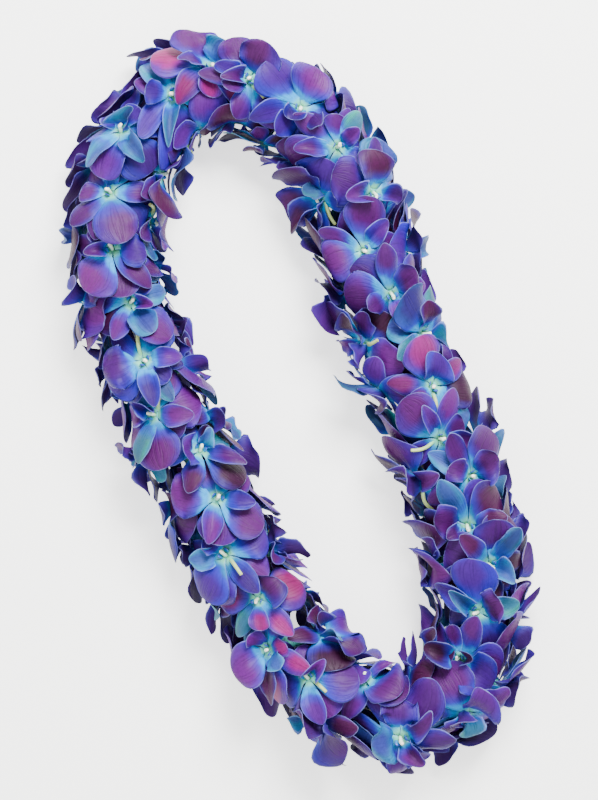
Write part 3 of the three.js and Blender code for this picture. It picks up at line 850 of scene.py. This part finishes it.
def base_bundle(thread, node, rng):
    """The squeezed bases of a node's blooms round the thread, a little uneven."""
    start, end = core_ends(thread, node)
    line = start + (end - start) * np.linspace(*CORE_SHARES, CORE_STEPS)[:, None]
    uneven = rng.uniform(*CORE_UNEVEN, CORE_STEPS - 2)
    return tube(line, CORE_RADIUS * np.array([CORE_END, *uneven, CORE_END]), SIDES["core"], UP)


def make_flowers(thread, blooms, settings, material):
    """One piece for each node: its three blooms and their squeezed bases."""
    rng = np.random.default_rng(settings.seed)
    body, blush = dye_colours("plum")
    plain = {"petal_place": (0.0, 0.0, FAR_FROM_RIM), "petal_front": 1.0, "petal_body": body,
             "petal_blush": blush, "petal_habit": (0.5, 0.0, 0.0)}
    for node in range(len(FACING)):
        bodies = []
        for bloom in of_node(blooms, node):
            bodies += bloom_bodies(thread, bloom, rng, settings.thickness / MM)
        solids = [heart_solid(thread, bloom) for bloom in of_node(blooms, node)]
        solids.append(base_bundle(thread, node, rng))
        bodies += [(points, faces, all_over(points, plain)) for points, faces in solids]
        points, faces, values = joined(bodies)
        points = points + (*RING_OFFSET, 0)
        points[:, 2] = np.maximum(points[:, 2], 0)
        mesh = build_mesh(f"flowers_{node + 1:02d}", points, faces, values)
        add_piece(mesh, material, "petals", f"blooms_{node + 1:02d}")


def add_object(name, data):
    """A new object in the scene."""
    made = bpy.data.objects.new(name, data)
    bpy.context.scene.collection.objects.link(made)
    return made


def add_piece(mesh, material, slot, *nodes):
    """Links a finished mesh as one piece of the lei, in its place."""
    piece = add_object(mesh.name, mesh)
    mesh.materials.clear()
    mesh.materials.append(material)
    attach(piece, "root")
    if nodes:
        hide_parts(*nodes)


# Nodes of both kinds


def feed(tree, socket, value):
    """Gives a socket a plain value, or links it to another socket or to a tone's."""
    value = getattr(value, "socket", value)
    if isinstance(value, bpy.types.NodeSocket):
        tree.links.new(value, socket)
    else:
        socket.default_value = value


def add_node(tree, kind, settings, *values, **named):
    """A node with its settings made first, then its inputs fed by place or by name."""
    node = tree.nodes.new(kind)
    for key, value in settings.items():
        setattr(node, key, value)
    for socket, value in zip(node.inputs, values):
        feed(tree, socket, value)
    for key, value in named.items():
        feed(tree, node.inputs[key.replace("_", " ")], value)
    return node


# Geometry Nodes


class NodeDesk:
    """Builds one geometry tree with named inputs, and runs it over a mesh."""

    def __init__(self, name, inputs):
        self.tree = bpy.data.node_groups.new(name, "GeometryNodeTree")
        for end in ("INPUT", "OUTPUT"):
            self.tree.interface.new_socket("Geometry", in_out=end, socket_type="NodeSocketGeometry")
        self.identifiers = {}
        for label, kind in inputs.items():
            socket = self.tree.interface.new_socket(label, in_out="INPUT", socket_type=f"NodeSocket{kind}")
            self.identifiers[label] = socket.identifier
        self.source = self.tree.nodes.new("NodeGroupInput")
        self.result = self.tree.nodes.new("NodeGroupOutput")

    def input(self, label):
        return self.source.outputs[label]

    def node(self, kind, settings, *values, output=0, **named):
        """One output of a new node."""
        return add_node(self.tree, kind, settings, *values, **named).outputs[output]

    def math(self, operation, *values):
        return self.node("ShaderNodeMath", {"operation": operation}, *values)

    def vector(self, operation, *values, **named):
        return self.node("ShaderNodeVectorMath", {"operation": operation}, *values, **named)

    def stored(self, geometry, kind, name, value):
        """The geometry with a named value at its points."""
        settings = {"data_type": kind, "domain": "POINT"}
        return self.node(
            "GeometryNodeStoreNamedAttribute", settings, Geometry=geometry, Name=name, Value=value
        )

    def read(self, kind, name):
        return self.node("GeometryNodeInputNamedAttribute", {"data_type": kind}, Name=name)

    def even_lines(self):
        """The mesh's edges as curves, with points a step apart."""
        curve = self.node("GeometryNodeMeshToCurve", {}, Mesh=self.input("Geometry"))
        return self.node(
            "GeometryNodeResampleCurve", {"mode": "LENGTH"}, Curve=curve, Length=self.input("Step")
        )

    def sweep(self, lines, sides, radius, **scale):
        """A round section along each line, with closed ends."""
        ring = self.node("GeometryNodeCurvePrimitiveCircle", {}, Resolution=sides, Radius=radius)
        return self.node(
            "GeometryNodeCurveToMesh", {}, Curve=lines, Profile_Curve=ring, Fill_Caps=True, **scale
        )

    def finish(self, geometry, material):
        """Ends the tree: real geometry, smooth and with its material."""
        real = self.node("GeometryNodeRealizeInstances", {}, geometry)
        smooth_faces = self.node("GeometryNodeSetShadeSmooth", {}, real)
        dressed = self.node("GeometryNodeSetMaterial", {}, Geometry=smooth_faces, Material=material)
        self.tree.links.new(dressed, self.result.inputs[0])

    def run(self, mesh, name, values):
        """The plain mesh that the tree makes of a source mesh."""
        source = add_object(name + "_source", mesh)
        modifier = source.modifiers.new(name, "NODES")
        modifier.node_group = self.tree
        for label, value in values.items():
            modifier[self.identifiers[label]] = value
        graph = bpy.context.evaluated_depsgraph_get()
        made = bpy.data.meshes.new_from_object(source.evaluated_get(graph))
        made.name = name
        source.modifiers.remove(modifier)
        bpy.data.objects.remove(source)
        if not made.polygons:
            raise RuntimeError(f"the tree {self.tree.name} made no faces")
        return made


def line_mesh(name, lines, closed=False):
    """A mesh of edges only, one run of edges for each line of points in millimetres."""
    points, edges = [], []
    for line in lines:
        first = len(points)
        points += [Vector(point) * MM for point in line]
        edges += [(first + k, first + k + 1) for k in range(len(line) - 1)]
        if closed:
            edges.append((len(points) - 1, first))
    mesh = bpy.data.meshes.new(name)
    mesh.from_pydata(points, edges, [])
    return mesh


def stalk_tree(material):
    """Sweeps a round section along each line, tapered evenly from its start to its end."""
    desk = NodeDesk("Stalk sweep", {"Radius": "Float", "Taper": "Float", "Step": "Float", "Sides": "Int"})
    share = desk.node("GeometryNodeSplineParameter", {}, output="Factor")
    lost = desk.math("MULTIPLY", share, desk.math("SUBTRACT", 1.0, desk.input("Taper")))
    radius = desk.math("MULTIPLY", desk.input("Radius"), desk.math("SUBTRACT", 1.0, lost))
    lines = desk.stored(desk.even_lines(), "FLOAT", "reach", share)
    desk.finish(desk.sweep(lines, desk.input("Sides"), 1.0, Scale=radius), material)
    return desk


def strand_tree(material):
    """Lays twisted strands along each line."""
    desk = NodeDesk("Cotton twist", {
        "Strands": "Int", "Strand Radius": "Float", "Lay Radius": "Float", "Twist Length": "Float",
        "Step": "Float",
    })
    copies = desk.node(
        "GeometryNodeDuplicateElements", {"domain": "SPLINE"},
        Geometry=desk.even_lines(), Amount=desk.input("Strands"),
    )
    run = desk.node("GeometryNodeSplineParameter", {}, output="Length")
    turns = desk.math("DIVIDE", run, desk.input("Twist Length"))
    start = desk.math("DIVIDE", copies.node.outputs["Duplicate Index"], desk.input("Strands"))
    angle = desk.math("MULTIPLY", desk.math("ADD", turns, start), 2 * math.pi)
    normal = desk.node("GeometryNodeInputNormal", {}, output="Normal")
    tangent = desk.node("GeometryNodeInputTangent", {}, output="Tangent")

    def arm(vector, wave):
        length = desk.math("MULTIPLY", desk.math(wave, angle), desk.input("Lay Radius"))
        return desk.vector("SCALE", vector, Scale=length)

    shift = desk.vector(
        "ADD", arm(normal, "COSINE"), arm(desk.vector("CROSS_PRODUCT", tangent, normal), "SINE")
    )
    held = desk.stored(copies, "FLOAT_VECTOR", "strand_shift", shift)
    moved = desk.node(
        "GeometryNodeSetPosition", {}, Geometry=held, Offset=desk.read("FLOAT_VECTOR", "strand_shift")
    )
    strands = desk.stored(moved, "FLOAT", "reach", run)
    desk.finish(desk.sweep(strands, SIDES["strand"], desk.input("Strand Radius")), material)
    return desk


def column_tree(material):
    """Stands one column on each point, turned and sized by the point's own values."""
    desk = NodeDesk("Columns on hearts", {"Column": "Object"})
    shape = desk.node("GeometryNodeObjectInfo", {}, Object=desk.input("Column"), output="Geometry")
    turn = desk.node("FunctionNodeEulerToRotation", {}, Euler=desk.read("FLOAT_VECTOR", "turn"))
    placed = desk.node(
        "GeometryNodeInstanceOnPoints", {}, Points=desk.input("Geometry"), Instance=shape,
        Rotation=turn, Scale=desk.read("FLOAT", "size"),
    )
    desk.finish(placed, material)
    return desk


# Columns, stalks and thread


def lip_lobe(side):
    """One side lobe of the lip, curled round the column."""
    u = np.linspace(0, 1, LOBE["steps"] + 1)[:, None]
    v = np.linspace(-1, 1, LOBE["steps"] + 1)[None, :]
    half = LOBE["half_turn"] * np.sqrt(np.clip(1 - (0.15 + 0.85 * u) ** 3, 0, 1))
    turn = np.radians(side * (LOBE["turn"] + half * v))
    radius = LOBE["radius"] + LOBE["flare"] * u**1.5 + LOBE["hollow"] * v**2
    height = LOBE["foot"] + LOBE["height"] * u - LOBE["droop"] * v**2 * u
    middle = np.stack([radius * np.cos(turn), radius * np.sin(turn), height], axis=-1)
    middle[-1] = middle[-1].mean(axis=0)
    if side < 0:
        middle = middle[:, ::-1]
    grid = np.ones_like(turn)
    points = shell_points(middle, LOBE["thickness"] * grid)
    faces = shell_faces(LOBE["steps"], LOBE["steps"] + 1)
    return points, faces, {"reach": -shell_values(u * grid)}


def column_mesh(settings):
    """One column with its cap, and the lip's two side lobes that cup round it."""
    length = settings.column_length / MM
    lean = length * COLUMN_LEAN
    sideways = np.array([0.0, 1.0, 0.0])
    share, radii = np.transpose(COLUMN_STATIONS)
    line = np.stack([lean * share**2, 0 * share, COLUMN_FOOT + length * share], axis=1)
    points, faces = tube(line, radii, SIDES["column"], sideways)
    bodies = [(points, faces, {"reach": np.repeat(share, SIDES["column"])})]
    place, radii = np.transpose(CAP_STATIONS)
    ahead = lean * CAP_AHEAD + CAP_TILT * place
    height = length * CAP_SHARE - CAP_SINK + CAP_HALF * place
    line = np.stack([ahead, 0 * place, height], axis=1)
    points, faces = tube(line, radii, SIDES["cap"], sideways)
    bodies.append((points, faces, all_over(points, {"reach": CAP_REACH})))
    bodies += [lip_lobe(side) for side in (-1, 1)]
    return build_mesh("column", *joined(bodies))


def make_columns(blooms, settings, material):
    """All columns as one piece, each on its heart and leaning over its lip."""
    places, turns = [], []
    for bloom in blooms:
        centre, along, around, normal = bloom["heart"]
        lip = bloom["spin"] + math.pi
        forward = along * math.cos(lip) + around * math.sin(lip)
        basis = Matrix(np.stack([forward, np.cross(normal, forward), normal], axis=1).tolist())
        places.append(centre + (*RING_OFFSET, 0))
        turns.append(tuple(basis.to_euler("XYZ")))
    sizes = [bloom["size"] for bloom in blooms]
    hearts = build_mesh("hearts", places, [], {"turn": turns, "size": sizes})
    column = add_object("column", column_mesh(settings))
    mesh = column_tree(material).run(hearts, "columns", {"Column": column})
    bpy.data.objects.remove(column)
    add_piece(mesh, material, "hearts")


def stalk_line(bloom, turn, length, rise, curl):
    """A stalk that comes up beside the heart and bends down over the petals."""
    centre, along, around, normal = bloom["heart"]
    out = along * math.cos(turn) + around * math.sin(turn)
    sideways = np.cross(normal, out)
    share = np.linspace(0, 1, STALK_STEPS)[:, None]
    arch = np.sin(math.pi * (STALK_ARCH[0] + (STALK_ARCH[1] - STALK_ARCH[0]) * share))
    height = -STALK_FOOT + (rise + STALK_FOOT) * arch
    line = centre + out * (STALK_START + length * share)
    line = line + sideways * (length * curl * share**2) + normal * height
    line[:, 2] = np.maximum(line[:, 2], STALK_CLEAR)
    return line


def make_stalks(blooms, space, settings, material):
    """Cut stalks that curl over the petals wherever there is room."""
    rng = np.random.default_rng(settings.seed)
    lines = []
    for bloom in blooms:
        if rng.random() > settings.stalk_share:
            continue
        length = settings.stalk_length / MM * rng.uniform(*STALK_LENGTHS)
        scored = []
        turns = np.linspace(0, 2 * math.pi, STALK_TURNS, endpoint=False)
        for turn, rise in product(turns, STALK_RISES):
            line = stalk_line(bloom, turn, length, rise, rng.uniform(-STALK_CURL, STALK_CURL))
            crossed = space.share_taken(line[STALK_ROOT_STEPS:])
            score = crossed + STALK_OVERREACH_COST * space.overreach(line)
            scored.append((score, rng.random(), line))
        score, _, line = min(scored, key=lambda row: row[:2])
        if score < STALK_CROSSING:
            space.take(line)
            lines.append(line + (*RING_OFFSET, 0))
    values = {"Radius": settings.stalk_radius, "Taper": 0.8, "Step": 1.2 * MM,
              "Sides": SIDES["stalk"]}
    mesh = stalk_tree(material).run(line_mesh("stalk_lines", lines), "stalks", values)
    add_piece(mesh, material, "stalks")


def make_thread(thread, settings, material):
    """The twisted cotton thread and its knot."""
    ring = np.array([end for node in range(len(FACING)) for end in core_ends(thread, node)])
    t = np.linspace(0, 2 * math.pi, KNOT_STEPS, endpoint=False)
    trefoil = [np.sin(t) + 2 * np.sin(2 * t), np.cos(t) - 2 * np.cos(2 * t), -np.sin(3 * t)]
    knot = (ring[-1] + ring[0]) / 2 + np.stack(trefoil, axis=1) * KNOT_SIZE * KNOT_SHAPE
    lines = [line + (*RING_OFFSET, 0) for line in (ring, knot)]
    values = {
        "Strands": 3, "Strand Radius": settings.thread_radius * 0.48,
        "Lay Radius": settings.thread_radius * 0.5, "Twist Length": 6 * MM, "Step": 0.9 * MM,
    }
    source = line_mesh("thread_lines", lines, closed=True)
    mesh = strand_tree(material).run(source, "thread_strands", values)
    add_piece(mesh, material, "thread", "thread")


# Materials


class Tone:
    """An output socket that adds its Math nodes as it is worked with."""

    def __init__(self, bench, socket):
        self.bench = bench
        self.socket = socket

    def _with(self, operation, *values):
        return self.bench.add("ShaderNodeMath", {"operation": operation}, *values)

    def __add__(self, other):
        return self._with("ADD", self, other)

    def __sub__(self, other):
        return self._with("SUBTRACT", self, other)

    def __rsub__(self, other):
        return self._with("SUBTRACT", other, self)

    def __mul__(self, other):
        return self._with("MULTIPLY", self, other)

    __radd__ = __add__
    __rmul__ = __mul__

    def __pow__(self, other):
        return self._with("POWER", self, other)

    def absolute(self):
        return self._with("ABSOLUTE", self)

    def between(self, low, high):
        """Runs smoothly from 0 at low to 1 at high."""
        settings = {"interpolation_type": "SMOOTHSTEP"}
        return self.bench.add("ShaderNodeMapRange", settings, self, low, high, 0.0, 1.0)


class Bench:
    """Builds one material's nodes."""

    def __init__(self, name, **constants):
        self.material = bpy.data.materials.new(name)
        self.material.use_nodes = True
        self.tree = self.material.node_tree
        self.shader = next(n for n in self.tree.nodes if n.type == "BSDF_PRINCIPLED")
        self.dress(**constants)

    def dress(self, **named):
        """Feeds the shader's inputs by name."""
        for key, value in named.items():
            feed(self.tree, self.shader.inputs[key.replace("_", " ")], value)
        return self.material

    def add(self, kind, settings, *values, output=0, **named):
        """One output of a new node, as a tone."""
        return Tone(self, add_node(self.tree, kind, settings, *values, **named).outputs[output])

    def attribute(self, name, output="Fac"):
        return self.add("ShaderNodeAttribute", {"attribute_name": name}, output=output)

    def split(self, vector):
        return [self.add("ShaderNodeSeparateXYZ", {}, vector, output=k) for k in range(3)]

    def noise(self, scale, detail=3.0, vector=None):
        """A cloudy value between 0 and 1."""
        where = vector or self.add("ShaderNodeTexCoord", {}, output="Object")
        return self.add("ShaderNodeTexNoise", {}, output="Fac", Vector=where, Scale=scale, Detail=detail)

    def mix(self, factor, first, second):
        """A colour between two colours."""
        node = add_node(self.tree, "ShaderNodeMix", {"data_type": "RGBA"}, factor)
        colours = [socket for socket in node.inputs if socket.type == "RGBA"]
        for socket, value in zip(colours, (first, second)):
            feed(self.tree, socket, value)
        return Tone(self, next(socket for socket in node.outputs if socket.type == "RGBA"))

    def scaled(self, colour, factor):
        return self.add("ShaderNodeVectorMath", {"operation": "SCALE"}, colour, Scale=factor)

    def bump(self, height, strength, distance):
        return self.add("ShaderNodeBump", {}, Height=height, Strength=strength, Distance=distance)


def petal_material(colours):
    """Dyed petals: pale throat, turquoise claw, blue to violet blade, and blush under painted
    satin shade, with a pale rim that is partly the petal's edge and partly painted highlight.
    """
    bench = Bench("dyed_petal", IOR=1.36, Specular_IOR_Level=0.28)
    along, across, rim = bench.split(bench.attribute("petal_place", "Vector"))
    habit, aside, broad = bench.split(bench.attribute("petal_habit", "Vector"))
    front = bench.attribute("petal_front")
    body = bench.attribute("petal_body", "Color")
    blush = bench.attribute("petal_blush", "Color")
    cloud = bench.noise(scale=130.0)
    mottle = bench.noise(scale=520.0, detail=4.0)
    drift = (cloud - 0.5) * 0.45
    # Where each colour lies: along runs from 0 at the root to 1 at the tip
    patch = ((along - 0.7) * 1.9 + drift) ** 2.0 + ((across - aside) * 1.15 + drift) ** 2.0
    patch = (1.0 - patch.between(0.05, 1.1)) * (0.65 + 0.35 * broad)
    margin = (across.absolute() + drift).between(0.55, 1.05) * (1.0 - along.between(0.6, 1.0))
    shift = along + drift * 0.5 - habit * 0.12
    inwards = shift - across.absolute() * 0.12
    blue = 1.0 - inwards.between(0.08, 0.42)
    claw = 1.0 - inwards.between(0.0, 0.2)
    throat = 1.0 - (along + drift * 0.2).between(-0.06, 0.1)
    streak = bench.add("ShaderNodeCombineXYZ", {}, across * 15.0, along * 1.6, habit * 40.0)
    veins = bench.noise(scale=1.0, detail=2.0, vector=streak)
    veins = veins.between(0.48, 0.68) * along.between(0.0, 0.2)
    # The pale rim: partly the petal's own thin pale edge, partly painted highlight along the margins
    pale_rim_and_highlight = 1.0 - rim.between(0.05, 0.7)
    # The colours, one over the other
    colour = bench.mix(patch, body, blush)
    # Painted satin shade: the middle of the petal, where the blush lies, is darkened
    colour = bench.scaled(colour, 1.06 - patch * 0.3)
    colour = bench.mix(margin * 0.38 + blue * 0.64, colour, colours["margin"])
    glow = bench.scaled(bench.mix(claw, colours["margin"], colours["claw"]), 0.55 + habit * 0.9)
    colour = bench.mix(claw * 0.94, colour, glow)
    colour = bench.mix(throat * 0.85, colour, colours["throat"])
    # Painted highlight along the margins, over the petal's own pale edge
    colour = bench.mix(pale_rim_and_highlight * (0.12 + cloud * 0.6), colour, colours["rim"])
    colour = bench.scaled(colour, 1.08 - veins * 0.26 + (mottle - 0.5) * 0.6)
    behind = bench.mix(0.5, colour, colours["back"])
    colour = bench.mix(front, behind, colour)
    normal = bench.bump(mottle * 0.4 - veins * 0.6, strength=0.5, distance=0.0005)
    return bench.dress(Base_Color=colour, Roughness=0.42 + cloud * 0.16, Normal=normal)


def column_material(colours):
    """Waxy pale column, greenish below and creamy at its cap."""
    bench = Bench("waxy_column", IOR=1.45, Coat_Weight=0.15)
    reach = bench.attribute("reach")
    cloud = bench.noise(scale=700.0)
    colour = bench.mix(reach.between(0.0, 0.6), colours["throat"], colours["column"])
    colour = bench.mix(reach.between(0.9, 1.1), colour, colours["cap"])
    lobe_reach = 0.0 - reach
    lobe = bench.mix(lobe_reach.between(0.45, 0.95), colours["claw"], colours["margin"])
    colour = bench.mix(lobe_reach.between(0.0, 0.3), colour, lobe)
    colour = bench.scaled(colour, 0.85 + cloud * 0.3)
    normal = bench.bump(cloud, strength=0.25, distance=0.0003)
    return bench.dress(Base_Color=colour, Roughness=0.32 + cloud * 0.2, Normal=normal)


def stalk_material(colours):
    """Pale green stalks, a little rough and duller at the cut."""
    bench = Bench("cut_stalk", IOR=1.42)
    reach = bench.attribute("reach")
    cloud = bench.noise(scale=420.0)
    colour = bench.mix(reach.between(0.0, 0.5), colours["throat"], colours["stalk"])
    colour = bench.mix(reach.between(0.93, 1.0) * 0.7, colour, colours["cut"])
    colour = bench.scaled(colour, 0.8 + cloud * 0.4)
    normal = bench.bump(cloud, strength=0.4, distance=0.0004)
    return bench.dress(Base_Color=colour, Roughness=0.4 + cloud * 0.2, Normal=normal)


def cotton_material(colours):
    """Matt cotton with fine fibres."""
    bench = Bench("twisted_cotton", Sheen_Weight=0.3)
    cloud = bench.noise(scale=2200.0, detail=5.0)
    colour = bench.scaled(bench.mix(cloud, colours["cotton"], colours["cap"]), 0.75 + cloud * 0.4)
    normal = bench.bump(cloud, strength=0.6, distance=0.0002)
    return bench.dress(Base_Color=colour, Roughness=0.8 + cloud * 0.15, Normal=normal)


def floor_material(colour, glow):
    """A plain pale floor that is lit a little from behind, as a light table is."""
    bench = Bench("pale_floor", Roughness=0.85, Emission_Color=colour, Emission_Strength=glow)
    cloud = bench.noise(scale=6.0)
    paint = bench.scaled(colour[:3], 0.99 + cloud * 0.02)
    return bench.dress(Base_Color=paint)


# Settings


def colour_property(label, description, code):
    return FloatVectorProperty(
        name=label, description=description, subtype="COLOR", size=4, min=0, max=1,
        default=hex_colour(code),
    )


def length_property(label, description, millimetres, **limits):
    return FloatProperty(
        name=label, description=description, default=millimetres * MM, unit="LENGTH", **limits
    )


def power_property(label, description, watts):
    return FloatProperty(name=label, description=description, default=watts, min=0, unit="POWER")


class LeiPetalSettings(bpy.types.PropertyGroup):
    thickness: length_property(
        "Petal Thickness", "Thickness of a petal at its middle", 0.6, min=0.2 * MM, max=2 * MM
    )
    seed: IntProperty(name="Petal Seed", description="Picks the petals' dyes and shades", default=7)
    margin: colour_property("Margin", "Blue along a petal's margins", "222CA2")
    claw: colour_property("Claw", "Turquoise where a petal narrows", "0078B0")
    throat: colour_property("Throat", "Pale green at the heart", "6CC090")
    # The rim colour is partly the petal's pale edge and partly painted highlight
    rim: colour_property("Rim", "Thin pale edge of a petal", "8C98E0")
    back: colour_property("Back", "Duller violet of the petals' backs", "2C1A60")


class LeiTrimSettings(bpy.types.PropertyGroup):
    column_length: length_property("Column Length", "Height of a bloom's column", 5.5)
    stalk_length: length_property("Stalk Length", "Usual length of a cut stalk", 17)
    stalk_radius: length_property("Stalk Radius", "Radius of a stalk at its root", 1.45)
    thread_radius: length_property("Thread Radius", "Radius of the cotton thread", THREAD_RADIUS)
    stalk_share: FloatProperty(
        name="Stalk Share", description="Share of the blooms whose stalk shows", default=0.4,
        min=0, max=1, subtype="FACTOR",
    )
    seed: IntProperty(name="Stalk Seed", description="Picks how the stalks curl", default=11)
    column: colour_property("Column", "Waxy column", "CFE8C8")
    cap: colour_property("Cap", "Creamy cap of the column", "F4F2E0")
    stalk: colour_property("Stalk", "Pale green stalk", "A9BC7A")
    cut: colour_property("Cut", "Dried cut end of a stalk", "8F8A5A")
    cotton: colour_property("Cotton", "Cotton thread", "DDD6C4")


class LeiStageSettings(bpy.types.PropertyGroup):
    floor: colour_property("Floor", "Plain pale floor", "F4F4F2")
    floor_size: length_property("Floor Size", "Side of the floor", 6000)
    floor_glow: FloatProperty(
        name="Floor Glow", description="How brightly the floor is lit from behind", default=1.5
    )
    key_power: power_property("Key Light", "Power of the soft key light", 108.0)
    fill_power: power_property("Fill Light", "Power of the soft fill light", 12.0)
    world_strength: FloatProperty(
        name="Room Light", description="Strength of the even room light", default=1.28
    )
    distance: length_property("Camera Distance", "From the camera to the thread", VIEW_DISTANCE)


def lei_colours(scene):
    """All colours of the lei by name."""
    named = [
        (scene.lei_petals, ("margin", "claw", "throat", "rim", "back")),
        (scene.lei_trim, ("column", "cap", "stalk", "cut", "cotton")),
    ]
    return {key: tuple(getattr(settings, key)) for settings, keys in named for key in keys}


# Stage


def make_floor(settings):
    """The floor that the lei lies on."""
    half = settings.floor_size / 2
    corners = [(-half, -half, 0), (half, -half, 0), (half, half, 0), (-half, half, 0)]
    mesh = bpy.data.meshes.new("floor")
    mesh.from_pydata(corners, [], [(0, 1, 2, 3)])
    mesh.materials.append(floor_material(tuple(settings.floor), settings.floor_glow))
    floor = add_object("floor", mesh)


def add_light(name, location, size, power):
    """A soft square light that faces the lei."""
    data = bpy.data.lights.new(name, "AREA")
    data.shape = "SQUARE"
    data.size = size
    data.energy = power
    light = add_object(name, data)
    light.location = location
    light.rotation_euler = Vector(location).to_track_quat("Z", "Y").to_euler()


def light_room(scene, strength):
    """Even white light from all round."""
    world = bpy.data.worlds.new("room")
    world.use_nodes = True
    background = next(n for n in world.node_tree.nodes if n.type == "BACKGROUND")
    background.inputs["Color"].default_value = hex_colour("FFFFFF")
    background.inputs["Strength"].default_value = strength
    scene.world = world


def add_camera(scene, distance):
    """The photograph's view, straight down on the thread."""
    data = bpy.data.cameras.new("photo_camera")
    data.sensor_width = SENSOR
    data.lens = SENSOR * distance / (VIEW_SPAN * MM)
    data.clip_end = 20
    camera = add_object("photo_camera", data)
    camera.location = (VIEW_CENTRE[0] * MM, VIEW_CENTRE[1] * MM, THREAD_HEIGHT * MM + distance)
    camera.rotation_euler = Euler((0, 0, math.radians(VIEW_TURN)))
    scene.camera = camera


# Operators and panel


@cache
def laid_out():
    """The thread, its blooms and the space that they take, worked out once."""
    thread = Thread(THREAD_PATH)
    blooms = deal_blooms(thread)
    read_lifts(thread, blooms)
    for bloom in blooms:
        bloom["heart"] = heart_frame(thread, bloom)
    return thread, blooms, plan_blades(thread, blooms)


class LEI_OT_flowers(bpy.types.Operator):
    """String the dyed orchid blooms, three to a piece"""

    bl_idname = "lei.flowers"
    bl_label = "String Blooms"

    def execute(self, context):
        thread, blooms, _ = laid_out()
        material = petal_material(lei_colours(context.scene))
        make_flowers(thread, blooms, context.scene.lei_petals, material)
        return {"FINISHED"}


class LEI_OT_columns(bpy.types.Operator):
    """Stand a column in every heart"""

    bl_idname = "lei.columns"
    bl_label = "Add Columns"

    def execute(self, context):
        _, blooms, _ = laid_out()
        material = column_material(lei_colours(context.scene))
        make_columns(blooms, context.scene.lei_trim, material)
        return {"FINISHED"}


class LEI_OT_stalks(bpy.types.Operator):
    """Add the cut stalks that curl over the petals"""

    bl_idname = "lei.stalks"
    bl_label = "Add Stalks"

    def execute(self, context):
        _, blooms, space = laid_out()
        material = stalk_material(lei_colours(context.scene))
        make_stalks(blooms, space, context.scene.lei_trim, material)
        return {"FINISHED"}


class LEI_OT_thread(bpy.types.Operator):
    """Twist the cotton thread and tie its knot"""

    bl_idname = "lei.thread"
    bl_label = "Twist Thread"

    def execute(self, context):
        thread, _, _ = laid_out()
        material = cotton_material(lei_colours(context.scene))
        make_thread(thread, context.scene.lei_trim, material)
        return {"FINISHED"}


class LEI_OT_stage(bpy.types.Operator):
    """Set up the floor, the soft lights and the camera"""

    bl_idname = "lei.stage"
    bl_label = "Set Stage"

    def execute(self, context):
        settings = context.scene.lei_stage
        make_floor(settings)
        add_light("key_light", *KEY_LIGHT, settings.key_power)
        add_light("fill_light", *FILL_LIGHT, settings.fill_power)
        light_room(context.scene, settings.world_strength)
        add_camera(context.scene, settings.distance)
        return {"FINISHED"}


class LEI_PT_panel(bpy.types.Panel):
    """Lists the steps that make the lei"""

    bl_label = "Orchid Lei"
    bl_space_type = "VIEW_3D"
    bl_region_type = "UI"
    bl_category = "Lei"

    def draw(self, context):
        for group, operators in PANEL_ROWS:
            box = self.layout.box()
            settings = getattr(context.scene, group)
            for key in settings.bl_rna.properties.keys():
                if key not in ("rna_type", "name"):
                    box.prop(settings, key)
            for operator in operators:
                box.operator(operator.bl_idname)


PANEL_ROWS = [
    ("lei_petals", [LEI_OT_flowers]),
    ("lei_trim", [LEI_OT_columns, LEI_OT_stalks, LEI_OT_thread]),
    ("lei_stage", [LEI_OT_stage]),
]
SETTINGS = {
    "lei_petals": LeiPetalSettings,
    "lei_trim": LeiTrimSettings,
    "lei_stage": LeiStageSettings,
}
OPERATORS = [operator for _, operators in PANEL_ROWS for operator in operators]
CLASSES = [*SETTINGS.values(), *OPERATORS, LEI_PT_panel]


def register():
    for cls in CLASSES:
        bpy.utils.register_class(cls)
    for name, cls in SETTINGS.items():
        setattr(bpy.types.Scene, name, PointerProperty(type=cls))


def unregister():
    for name in SETTINGS:
        delattr(bpy.types.Scene, name)
    for cls in reversed(CLASSES):
        bpy.utils.unregister_class(cls)


def main():
    register()
    bpy.ops.lei.stage()
    bpy.ops.lei.flowers()
    bpy.ops.lei.columns()
    bpy.ops.lei.stalks()
    bpy.ops.lei.thread()


if __name__ == "__main__":
    main()
